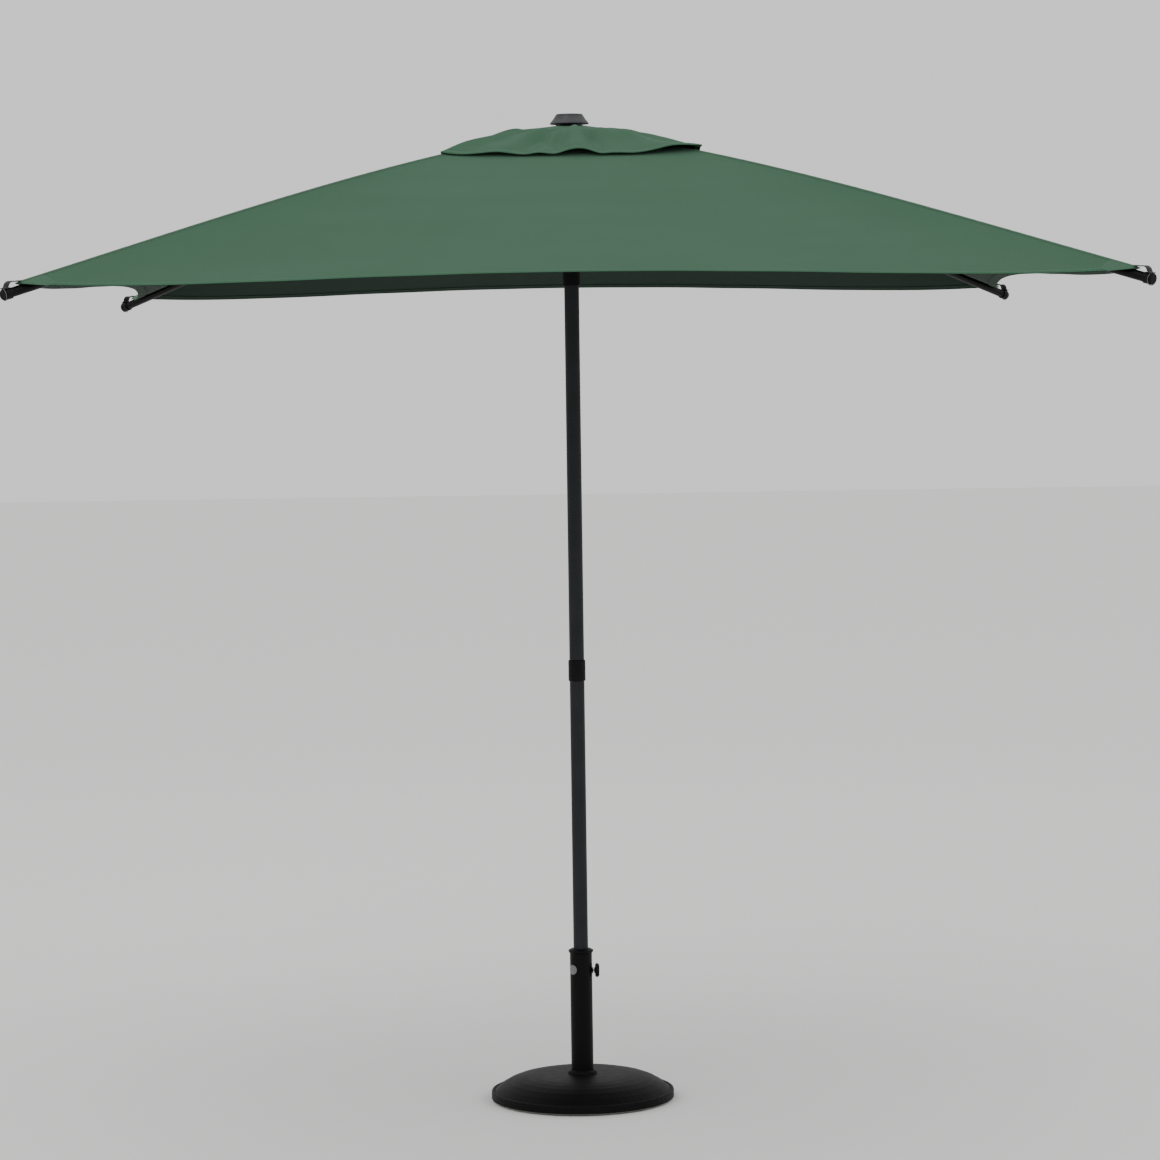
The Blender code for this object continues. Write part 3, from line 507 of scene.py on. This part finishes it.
def select_faces(obj, test):
    """In edit mode, select only the faces whose middle and normal pass the test."""
    bpy.ops.mesh.select_mode(type="FACE")
    bpy.ops.mesh.select_all(action="DESELECT")
    mesh_data = bmesh.from_edit_mesh(obj.data)
    for face in mesh_data.faces:
        if test(face.calc_center_median(), face.normal):
            face.select_set(True)
    bmesh.update_edit_mesh(obj.data)


def merge_doubles(obj):
    """Open the object for editing with all of it selected, and merge the points that meet."""
    deselect()
    bpy.context.view_layer.objects.active = obj
    obj.select_set(True)
    bpy.ops.object.mode_set(mode="EDIT")
    bpy.ops.mesh.select_all(action="SELECT")
    bpy.ops.mesh.remove_doubles(threshold=0.00001)


def settle(obj, place, smooth_deg=35):
    """Give the mesh its place, leave the object at the origin and shade it."""
    deselect()
    obj.data.transform(place @ obj.matrix_world)
    obj.matrix_world = Matrix.Identity(4)
    merge_doubles(obj)
    bpy.ops.mesh.normals_make_consistent(inside=False)
    bpy.ops.object.mode_set(mode="OBJECT")
    bpy.ops.object.shade_smooth_by_angle(angle=math.radians(smooth_deg))
    deselect()
    return obj


def copy_at(source, name, place):
    """A copy with its own mesh, moved to another place."""
    twin = source.copy()
    twin.data = source.data.copy()
    twin.name = name
    twin.data.name = name
    bpy.context.scene.collection.objects.link(twin)
    twin.data.transform(place)
    return twin


def hand_over(obj, body, material):
    paint_with(obj, material)
    if material == "woven_polyester_green":
        # second finish: the cloth's underside in painted shade
        obj.data.materials.append(finish("painted_shade_underside_cloth"))
    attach(obj, body)
    return obj


# ---- cloth ----
def hem_reach(across):
    """Level distance from the axis to the hem: across is 0 at mid panel and 1 at the rib."""
    return HEM_MIDDLE + (HEM_CORNER - HEM_MIDDLE) * across * across


def panel_of(x, y):
    """(panel number 0 to 3, outward, sideways) of a level point."""
    if abs(x) >= abs(y):
        return (0, x, y) if x > 0 else (2, -x, -y)
    return (1, y, -x) if y > 0 else (3, -y, x)


def panel_height(panel, outward, sideways):
    """Top face of the canopy over a point of one panel."""
    across = min(1.0, abs(sideways) / max(outward, 1e-6))
    share = (outward - HOLE_HALF) / (hem_reach(across) - HOLE_HALF)
    share = max(0.0, min(1.0, share))
    slack = 1 - across ** 6
    sag = SAG * slack * math.sin(math.pi * share * 0.6) / math.sin(math.pi * 0.6)
    arch = bow((outward * math.sqrt(2) - PIVOT_R) / math.cos(SLOPE)) / math.cos(SLOPE)
    wrinkle = settings("umbrella_cloth").wrinkle
    # tension wrinkles: level ones, ones that lean, and rays out of the corner
    level = noise.noise(Vector((sideways * 1.7, outward * 11.0, panel * 7.3)))
    pull = noise.noise(Vector((sideways * 9.0 + outward * 3.0, outward * 2.0, panel * 3.1 + 20)))
    fade = slack * math.sin(math.pi * min(1.0, share * 1.02)) ** 0.5 if share > 0 else 0.0
    corner = math.exp(-((1 - share) * 3.0) ** 2) * across * (1 - across) * 4
    rays = math.sin(across * 26.0 + panel) * corner * 0.12
    rest = RIDGE_Z + TOP_LIFT - PANEL_FALL * outward
    return rest + arch - sag + wrinkle * (fade * (level + 0.6 * pull) + rays * slack)


def canopy_height(x, y):
    return panel_height(*panel_of(x, y))


def slope_length(outward):
    return outward * math.sqrt(1 + PANEL_FALL ** 2)


def grid_mesh(name, grid):
    """A sheet of quads from rows of (point, uv) pairs, with a UV map in metres."""
    columns = len(grid[0])
    pairs = [pair for row in grid for pair in row]
    faces = []
    for row in range(len(grid) - 1):
        for column in range(columns - 1):
            first = row * columns + column
            faces.append((first, first + columns, first + columns + 1, first + 1))
    mesh = bpy.data.meshes.new(name)
    mesh.from_pydata([point for point, _ in pairs], [], faces)
    layer = mesh.uv_layers.new(name="cloth")
    for loop in mesh.loops:
        layer.data[loop.index].uv = pairs[loop.vertex_index][1]
    mesh.update()
    obj = bpy.data.objects.new(name, mesh)
    bpy.context.scene.collection.objects.link(obj)
    mesh.shade_smooth()
    return obj


def face_up(obj):
    """Turn the sheet over if most of it looks down."""
    total = sum(polygon.normal.z * polygon.area for polygon in obj.data.polygons)
    if total < 0:
        obj.data.flip_normals()


def thicken(obj, thickness):
    """Give the sheet its thickness below, keep its outer edges sharp and give its back the
    painted-shade underside finish.
    """
    uses = {}
    for polygon in obj.data.polygons:
        for key in polygon.edge_keys:
            uses[key] = uses.get(key, 0) + 1
    for edge in obj.data.edges:
        edge.use_edge_sharp = uses[edge.key] == 1
    modifier = obj.modifiers.new("cloth", "SOLIDIFY")
    modifier.thickness = thickness
    modifier.offset = -1.0
    modifier.use_even_offset = False
    modifier.material_offset = 1
    modifier.material_offset_rim = 0


def half_gores():
    """(rib, panel number, side) of each half panel: side is +1 towards the higher azimuth."""
    found = []
    for rib in RIBS:
        quarter = round((azimuth_of(rib) % (2 * math.pi)) / (math.pi / 2) - 0.5)
        found.append((rib, quarter % 4, 1))
        found.append((rib, (quarter + 1) % 4, -1))
    return found


def gather(obj):
    """Give the half panel a mesh of its own; the folded share is read but nothing folds the cloth.
    """
    share = settings("umbrella_cloth").folded_width
    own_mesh(obj)


def make_half_canopy(rib, panel, side):
    cloth = settings("umbrella_cloth")
    turned = spin(panel * math.pi / 2)
    grid = []
    # each row's share of the way to the hem, its push past the hem and its drop below the top
    steps = [(row / cloth.rows, 0.0, 0.0) for row in range(cloth.rows + 1)]
    turn_under = [(0.0009, 0.0012), (-0.0004, 0.0026), (-0.004, 0.0030)]
    turn_under += [(-cloth.hem_width * 0.5, 0.0026), (-cloth.hem_width, 0.0024)]
    steps += [(1.0, push, drop) for push, drop in turn_under]
    for share, push, drop in steps:
        row = []
        for column in range(cloth.columns + 1):
            across = (column / cloth.columns) ** 1.5
            hem = hem_reach(across)
            outward = HOLE_HALF + (hem - HOLE_HALF) * share + push
            sideways = side * min(across * (hem if push else outward), outward)
            height = panel_height(panel, outward, sideways)
            if push > 0.0:
                height = panel_height(panel, hem, side * across * hem) - PANEL_FALL * push
            row.append((turned @ Vector((outward, sideways, height - drop)),
                        (sideways, slope_length(hem - outward))))
        grid.append(row)
    word = "a" if side > 0 else "b"
    obj = grid_mesh(f"canopy_cloth_{rib}{word}", grid)
    face_up(obj)
    thicken(obj, CLOTH_T)
    hand_over(obj, f"rib_{rib}", "woven_polyester_green")
    # the turned-under hem faces take the painted-shade underside finish
    for polygon in obj.data.polygons[(cloth.rows + 1) * cloth.columns:]:
        polygon.material_index = 1
    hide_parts(f"canopy_quarter_{rib}")
    gather(obj)
    return obj


def level_axes(rib):
    """Level directions along a rib and square to it."""
    angle = azimuth_of(rib)
    return (Vector((math.cos(angle), math.sin(angle), 0)),
            Vector((-math.sin(angle), math.cos(angle), 0)))


def over_rib(rib, reach, sideways, lift):
    """(point, uv) near a rib, at a height over the canopy's top face."""
    along, side = level_axes(rib)
    level = along * reach + side * sideways
    height = canopy_height(level.x, level.y) + lift
    return Vector((level.x, level.y, height)), (reach, sideways)


def make_ridge_seam(rib):
    """Felled seam over the rib, from under the vent cover to the corner."""
    cloth = settings("umbrella_cloth")
    half = cloth.seam_width / 2
    section = [(-1.0, -0.0004), (-0.94, 0.0007), (-0.55, 0.0010), (0.0, 0.0016),
               (0.55, 0.0010), (0.94, 0.0007), (1.0, -0.0004)]
    start = HOLE_HALF * math.sqrt(2) + 0.004
    end = HEM_CORNER * math.sqrt(2) - 0.010
    count = 150
    grid = []
    for step in range(count + 1):
        reach = start + (end - start) * step / count
        pucker = 0.0003 * noise.noise(Vector((reach * 60, rib, 0)))
        grid.append([over_rib(rib, reach, place * half, lift + pucker)
                     for place, lift in section])
    obj = grid_mesh(f"ridge_seam_{rib}", grid)
    face_up(obj)
    return hand_over(obj, f"rib_{rib}", "felled_seam_green")


def make_corner_patch(rib):
    """Doubled cloth under the corner's webbing."""
    grid = []
    rows = 14
    columns = 12
    for step in range(rows + 1):
        back = 0.006 + 0.074 * step / rows
        reach = HEM_CORNER * math.sqrt(2) - back
        half = min(back * 0.86, 0.046) * (1.0 if step < rows else 0.97)
        row = []
        for column in range(columns + 1):
            place = -1 + 2 * column / columns
            edge = 0.0 if abs(place) > 0.99 or step in (0, rows) else 0.0013
            row.append(over_rib(rib, reach, place * half, edge - 0.0002))
        grid.append(row)
    obj = grid_mesh(f"corner_patch_{rib}", grid)
    face_up(obj)
    hand_over(obj, f"rib_{rib}", "felled_seam_green")
    settings("umbrella_cloth").folded_width
    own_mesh(obj)
    return obj


# ---- vent cover ----
# creases that run out from the top cap: their bearing, half width and height
VENT_CREASES = ((-1.60, 0.07, 0.0075), (-1.34, 0.05, -0.0050), (-1.88, 0.06, -0.0055),
                (-1.05, 0.08, 0.0060), (-2.20, 0.07, 0.0050), (-0.45, 0.10, 0.0050),
                (-2.75, 0.08, 0.0040), (0.35, 0.09, 0.0050), (1.20, 0.06, 0.0065),
                (1.75, 0.08, -0.0045), (2.55, 0.07, 0.0060))


def vent_height(x, y):
    """Top face of the loose, ruffled vent cover."""
    cloth = settings("umbrella_cloth")
    outward = max(abs(x), abs(y))
    share = outward / VENT_HALF
    angle = math.atan2(y, x)
    fall = VENT_FALL * share ** 1.3
    # the cover rises in a loose ring, falls in folds that grow outward, and has soft dents
    knuckle = math.exp(-((outward - 0.155) / 0.048) ** 2)
    knuckle *= 0.007 + 0.005 * math.sin(angle * 3 - 0.3) + 0.004 * math.sin(angle * 7 + 2.8)
    folds = math.sin(angle * 8 + 0.9) * 0.5 + math.sin(angle * 13 + 2.1) * 0.5
    folds += 0.45 * math.sin(angle * 21 + 0.4 + 5 * outward)
    slack = math.sin(math.pi * min(1.0, share ** 1.3 * 0.86))
    ripple = cloth.ruffle * folds * (0.95 * slack + 0.24 * share ** 3)
    soft = 0.003 * noise.noise(Vector((x * 14, y * 14, 3.0))) * min(1.0, share * 2)
    for middle, width, height in VENT_CREASES:
        away = math.remainder(angle + 0.5 * (share - 0.5) * width - middle, 2 * math.pi) / width
        ripple += height * math.exp(-away * away) * slack
    # one corner stands up, and nothing moves where the top cap clamps the cloth
    corner = Vector((x - VENT_HALF, y + VENT_HALF, 0)).length / 0.085
    flick = 0.018 * math.exp(-corner * corner)
    start = min(1.0, max(0.0, (outward - 0.048) / 0.085))
    height = VENT_TOP_Z - fall + (knuckle + ripple + soft) * start + flick
    return max(height, canopy_height(x, y) + VENT_CLEAR) if outward > HOLE_HALF else height


def make_half_vent(rib, panel, side):
    columns = 44
    rows = 56
    turned = spin(panel * math.pi / 2)
    grid = []
    inner_r = FINIAL_SEAT_R - 0.006
    steps = [(row / rows, 0.0, 0.0) for row in range(rows + 1)]
    steps += [(1.0, 0.0008, 0.0012), (1.0, -0.0006, 0.0024), (1.0, -VENT_HEM, 0.0022)]
    for share, push, drop in steps:
        row = []
        for column in range(columns + 1):
            across = (column / columns) ** 1.4
            inner = inner_r / math.sqrt(1 + across * across)
            outward = inner + (VENT_HALF - 0.001 - inner) * share + push
            sideways = side * across * min(outward, VENT_HALF - 0.001)
            level = turned @ Vector((outward, sideways, 0))
            height = vent_height(level.x, level.y) - drop
            row.append((Vector((level.x, level.y, height)), (sideways, VENT_HALF - outward)))
        grid.append(row)
    word = "a" if side > 0 else "b"
    obj = grid_mesh(f"vent_cloth_{rib}{word}", grid)
    face_up(obj)
    thicken(obj, CLOTH_T)
    hand_over(obj, f"rib_{rib}", "woven_polyester_green")
    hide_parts("vent_cover")
    gather(obj)
    return obj


def make_vent_middle():
    """The part of the vent cover that stays clamped under the top cap."""
    rings = 10
    around = 72
    reach = FINIAL_SEAT_R + 0.002
    grid = []
    for ring in range(rings + 1):
        radius = CAP_HOLE_R + (reach - CAP_HOLE_R) * ring / rings
        row = []
        for step in range(around + 1):
            angle = 2 * math.pi * step / around
            x = radius * math.cos(angle)
            y = radius * math.sin(angle)
            row.append((Vector((x, y, vent_height(x, y) - 0.0003)), (x, y + VENT_HALF)))
        grid.append(row)
    obj = grid_mesh("vent_cloth_middle", grid)
    face_up(obj)
    merge_doubles(obj)
    bpy.ops.object.mode_set(mode="OBJECT")
    thicken(obj, CLOTH_T)
    hand_over(obj, "upper_mast", "woven_polyester_green")
    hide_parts("vent_cover")
    return obj


# ---- webbing and rings at the corners ----
def ribbon(name, place, path, width, thickness):
    """Flat webbing along a path of (along, up) points in a rib's plane, with rounded edges."""
    section = []
    edge = thickness / 2
    for side in (1, -1):
        for step in range(9):
            angle = math.pi * step / 8 - side * math.pi / 2
            section.append((side * (width / 2 - edge) + edge * math.cos(angle),
                            edge * math.sin(angle)))
    section.append(section[0])
    grid = []
    travelled = 0.0
    for index, (along, up) in enumerate(path):
        before = path[max(0, index - 1)]
        after = path[min(len(path) - 1, index + 1)]
        heading = Vector((after[0] - before[0], after[1] - before[1])).normalized()
        if index:
            travelled += math.hypot(along - before[0], up - before[1])
        row = []
        for across, rise in section:
            point = place @ Vector((along - heading.y * rise, up + heading.x * rise, across))
            row.append((point, (travelled, across + (0.05 if rise < 0 else 0.0))))
        grid.append(row)
    obj = grid_mesh(name, grid)
    merge_doubles(obj)
    bpy.ops.mesh.select_all(action="DESELECT")
    bpy.ops.mesh.select_mode(type="EDGE")
    bpy.ops.mesh.select_non_manifold()
    bpy.ops.mesh.edge_face_add()
    bpy.ops.mesh.select_all(action="SELECT")
    bpy.ops.mesh.normals_make_consistent(inside=False)
    bpy.ops.object.mode_set(mode="OBJECT")
    bpy.ops.object.shade_smooth_by_angle(angle=math.radians(50))
    deselect()
    return obj


def smooth_path(knots, steps=8):
    """Catmull-Rom curve through (along, up) knots."""
    path = []
    count = len(knots)
    for index in range(count - 1):
        p0 = Vector(knots[max(0, index - 1)])
        p1 = Vector(knots[index])
        p2 = Vector(knots[index + 1])
        p3 = Vector(knots[min(count - 1, index + 2)])
        for step in range(steps):
            t = step / steps
            point = 0.5 * ((2 * p1) + (p2 - p0) * t + (2 * p0 - 5 * p1 + 4 * p2 - p3) * t * t
                           + (3 * p1 - p0 - 3 * p2 + p3) * t ** 3)
            path.append((point.x, point.y))
    path.append(tuple(knots[-1]))
    return path


def make_corner_webbing(rib):
    place = rib_frame(rib)
    on_cloth = CLOTH_RISE + 0.0036
    on_band = END_CAP_R + 0.0022
    knots = [(CORNER_S - 0.016, on_cloth - 0.0004), (CORNER_S - 0.004, on_cloth + 0.0006),
             (CORNER_S + 0.005, on_cloth + 0.0036), (CORNER_S + 0.012, on_cloth + 0.0042),
             (CORNER_S + 0.019, on_cloth + 0.0010), (RIB_LEN - 0.012, on_band),
             (RIB_LEN - 0.004, on_band)]
    knots = [(along, up + bow(along)) for along, up in knots]
    strap = ribbon(f"corner_webbing_{rib}", place, smooth_path(knots), WEBBING_W,
                   WEBBING_T)
    hand_over(strap, f"rib_{rib}", "polyester_webbing_black")
    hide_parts(f"corner_strap_{rib}")
    return strap


def make_band_around_tip(rib):
    """Webbing wrapped round the end of the rib, which the corner strap is sewn to."""
    deselect()
    bpy.ops.mesh.primitive_cylinder_add(vertices=40, radius=END_CAP_R + 0.0008, depth=0.018,
                                        end_fill_type="NOTHING")
    band = take(f"tip_band_{rib}")
    bpy.ops.object.mode_set(mode="EDIT")
    bpy.ops.mesh.select_all(action="SELECT")
    bpy.ops.mesh.extrude_region_shrink_fatten(TRANSFORM_OT_shrink_fatten={"value": -0.0006})
    bpy.ops.object.mode_set(mode="OBJECT")
    middle = RIB_LEN - 0.014
    place = rib_frame(rib) @ Matrix.Translation((middle, bow(middle), 0))
    settle(band, place @ Matrix.Rotation(math.radians(90), 4, "Y"))
    return hand_over(band, f"rib_{rib}", "moulded_nylon_black")


def make_tip_ring(rib):
    """Plated wire ring hooked over the end cap."""
    deselect()
    bpy.ops.mesh.primitive_torus_add(major_radius=END_CAP_R + 0.0008, minor_radius=0.0008,
                                     major_segments=48, minor_segments=14)
    ring = take(f"tip_ring_{rib}")
    bpy.ops.object.mode_set(mode="EDIT")
    bpy.ops.mesh.select_all(action="SELECT")
    bpy.ops.transform.resize(value=(1.0, 1.06, 1.0))
    bpy.ops.object.mode_set(mode="OBJECT")
    lean = Matrix.Rotation(math.radians(90 - 14), 4, "Y")
    settle(ring, rib_frame(rib) @ Matrix.Translation((RIB_LEN - 0.0045, 0.0, 0)) @ lean)
    return hand_over(ring, f"rib_{rib}", "dull_steel")


# ---- fasteners ----
def rivet_master():
    """A domed rivet head, 9 mm across, standing on the XY plane."""
    deselect()
    bpy.ops.mesh.primitive_cylinder_add(vertices=28, radius=0.0045, depth=0.0016,
                                        location=(0, 0, 0.0008))
    head = take("rivet_head")
    bpy.ops.object.transform_apply(location=True, rotation=True, scale=True)
    bpy.ops.object.mode_set(mode="EDIT")
    select_faces(head, lambda middle, normal: normal.z > 0.9)
    bpy.ops.mesh.extrude_region_move(TRANSFORM_OT_translate={"value": (0, 0, 0.0008)})
    bpy.ops.transform.resize(value=(0.72, 0.72, 1.0))
    bpy.ops.mesh.extrude_region_move(TRANSFORM_OT_translate={"value": (0, 0, 0.0003)})
    bpy.ops.transform.resize(value=(0.5, 0.5, 1.0))
    bpy.ops.object.mode_set(mode="OBJECT")
    return settle(head, Matrix.Identity(4), 50)


def make_rivets():
    master = rivet_master()
    reach = RIB_R + BRACKET_GAP + BRACKET_WALL
    for rib in RIBS:
        at = rib_frame(rib) @ Matrix.Translation((BRACKET_S, BRACKET_RISE, 0))
        for word, turn in (("a", 0.0), ("b", math.pi)):
            place = at @ Matrix.Rotation(turn, 4, "X") @ Matrix.Translation((0, 0, reach))
            head = copy_at(master, f"bracket_rivet_{rib}{word}", place)
            hand_over(head, f"rib_{rib}", "zinc_plated_steel")
    bpy.data.objects.remove(master, do_unlink=True)


# ---- which finish each CAD node takes ----
NODE_FINISH = {
    "base_cover": "moulded_cover_black", "base_ballast": "cast_concrete",
    "base_foot_ring": "moulded_rubber", "socket_tube": "powder_coat_black",
    "socket_collar": "moulded_nylon_black", "socket_bushing": "moulded_nylon_black",
    "socket_cap": "moulded_nylon_black", "clamp_boss": "powder_coat_black",
    "blank_badge": "satin_badge", "clamp_pad": "moulded_nylon_black",
    "clamp_screw": "zinc_plated_steel", "clamp_knob": "moulded_nylon_black",
    "mast_foot_plug": "moulded_nylon_black", "lower_mast_tube": "powder_coat_charcoal",
    "spigot_tube": "zinc_plated_steel", "coupling_sleeve": "moulded_nylon_black",
    "upper_mast_tube": "powder_coat_charcoal", "crown_hub": "moulded_nylon_black",
    "finial_cap": "moulded_grey", "runner_hub": "moulded_nylon_black",
    "runner_liner": "moulded_grey", "vent_cover": "woven_polyester_green",
}
GROUP_FINISH = {
    "crown_pin": "zinc_plated_steel", "runner_pin": "zinc_plated_steel",
    "rib_tube": "powder_coat_black", "rib_root": "moulded_nylon_black",
    "rib_bracket": "powder_coat_black", "rib_end_cap": "moulded_nylon_black",
    "corner_strap": "polyester_webbing_black", "canopy_quarter": "woven_polyester_green",
    "strut": "powder_coat_black",
}


class UMBRELLA_OT_finishes(bpy.types.Operator):
    """Give every piece of the frame its finish."""
    bl_idname = "umbrella.finishes"
    bl_label = "Frame finishes"

    def execute(self, context):
        for name, node in NODES.items():
            wanted = NODE_FINISH.get(name) or GROUP_FINISH[name.rsplit("_", 1)[0]]
            paint_with(node, wanted)
        return {"FINISHED"}


class UMBRELLA_OT_canopy(bpy.types.Operator):
    """Sew the main canopy: half panels, ridge seams and corner patches."""
    bl_idname = "umbrella.canopy"
    bl_label = "Canopy"

    def execute(self, context):
        for rib, panel, side in half_gores():
            make_half_canopy(rib, panel, side)
        for rib in RIBS:
            make_ridge_seam(rib)
            make_corner_patch(rib)
        return {"FINISHED"}


class UMBRELLA_OT_vent(bpy.types.Operator):
    """Make the loose, ruffled cover over the vent."""
    bl_idname = "umbrella.vent"
    bl_label = "Vent cover"

    def execute(self, context):
        for rib, panel, side in half_gores():
            make_half_vent(rib, panel, side)
        make_vent_middle()
        return {"FINISHED"}


class UMBRELLA_OT_corners(bpy.types.Operator):
    """Tie the canopy's corners to the rib ends with webbing and rings."""
    bl_idname = "umbrella.corners"
    bl_label = "Corner webbing"

    def execute(self, context):
        for rib in RIBS:
            make_corner_webbing(rib)
            make_band_around_tip(rib)
            make_tip_ring(rib)
        return {"FINISHED"}


class UMBRELLA_OT_fasteners(bpy.types.Operator):
    """Add rivet heads at the rib brackets."""
    bl_idname = "umbrella.fasteners"
    bl_label = "Fasteners"

    def execute(self, context):
        make_rivets()
        return {"FINISHED"}


class UMBRELLA_OT_stage(bpy.types.Operator):
    """Lay the pale floor and set the soft light and the camera."""
    bl_idname = "umbrella.stage"
    bl_label = "Stage"

    def execute(self, context):
        deselect()
        bpy.ops.mesh.primitive_plane_add(size=80.0, location=(0, 0, 0))
        floor = take("stage_floor")
        floor.data.materials.append(finish("pale_floor"))
        self.light()
        self.camera(context)
        return {"FINISHED"}

    def light(self):
        world = bpy.data.worlds.new("soft_studio")
        bpy.context.scene.world = world
        world.use_nodes = True
        background = world.node_tree.nodes["Background"]
        background.inputs["Color"].default_value = (1.0, 1.0, 1.0, 1.0)
        background.inputs["Strength"].default_value = 0.95
        for name, place, size, power in (
            ("key_softbox", (-3.5, -6.0, 6.5), 5.0, 130.0),
            ("fill_softbox", (5.5, -4.5, 5.0), 5.0, 60.0),
            ("top_softbox", (0.0, 0.5, 7.5), 6.0, 60.0),
        ):
            data = bpy.data.lights.new(name, "AREA")
            data.shape = "DISK"
            data.size = size
            data.energy = power
            lamp = bpy.data.objects.new(name, data)
            lamp.location = place
            aim = Vector((0, 0, 1.6)) - Vector(place)
            lamp.rotation_euler = aim.to_track_quat("-Z", "Y").to_euler()
            bpy.context.scene.collection.objects.link(lamp)

    def camera(self, context):
        stage = settings("umbrella_stage")
        data = bpy.data.cameras.new("studio_camera")
        data.lens = stage.lens
        data.sensor_width = 36.0
        data.clip_end = 200.0
        camera = bpy.data.objects.new("studio_camera", data)
        where = Matrix.Translation((-stage.camera_distance * math.sin(CAMERA_BEARING),
                                    -stage.camera_distance * math.cos(CAMERA_BEARING),
                                    stage.camera_height))
        tilt = Matrix.Rotation(math.radians(90) - CAMERA_PITCH, 4, "X")
        turn = spin(-CAMERA_HEADING) @ tilt
        camera.matrix_world = where @ turn @ Matrix.Rotation(-CAMERA_ROLL, 4, "Z")
        context.scene.collection.objects.link(camera)
        context.scene.camera = camera


class UMBRELLA_PT_panel(bpy.types.Panel):
    """Sidebar panel with the umbrella's operators and settings."""
    bl_idname = "UMBRELLA_PT_panel"
    bl_label = "Patio umbrella"
    bl_space_type = "VIEW_3D"
    bl_region_type = "UI"
    bl_category = "Umbrella"

    def draw(self, context):
        for operator in OPERATORS:
            self.layout.operator(operator.bl_idname)
        for name, group in SETTINGS:
            box = self.layout.box()
            for prop in group.__annotations__:
                box.prop(getattr(context.scene, name), prop)


OPERATORS = (UMBRELLA_OT_finishes, UMBRELLA_OT_canopy, UMBRELLA_OT_vent, UMBRELLA_OT_corners,
             UMBRELLA_OT_fasteners, UMBRELLA_OT_stage)


def register():
    for name, group in SETTINGS:
        bpy.utils.register_class(group)
        setattr(bpy.types.Scene, name, PointerProperty(type=group))
    for operator in OPERATORS:
        bpy.utils.register_class(operator)
    bpy.utils.register_class(UMBRELLA_PT_panel)


def unregister():
    bpy.utils.unregister_class(UMBRELLA_PT_panel)
    for operator in reversed(OPERATORS):
        bpy.utils.unregister_class(operator)
    for name, group in reversed(SETTINGS):
        delattr(bpy.types.Scene, name)
        bpy.utils.unregister_class(group)


def main():
    register()
    for operator in OPERATORS:
        group, name = operator.bl_idname.split(".")
        getattr(getattr(bpy.ops, group), name)()


if __name__ == "__main__":
    main()
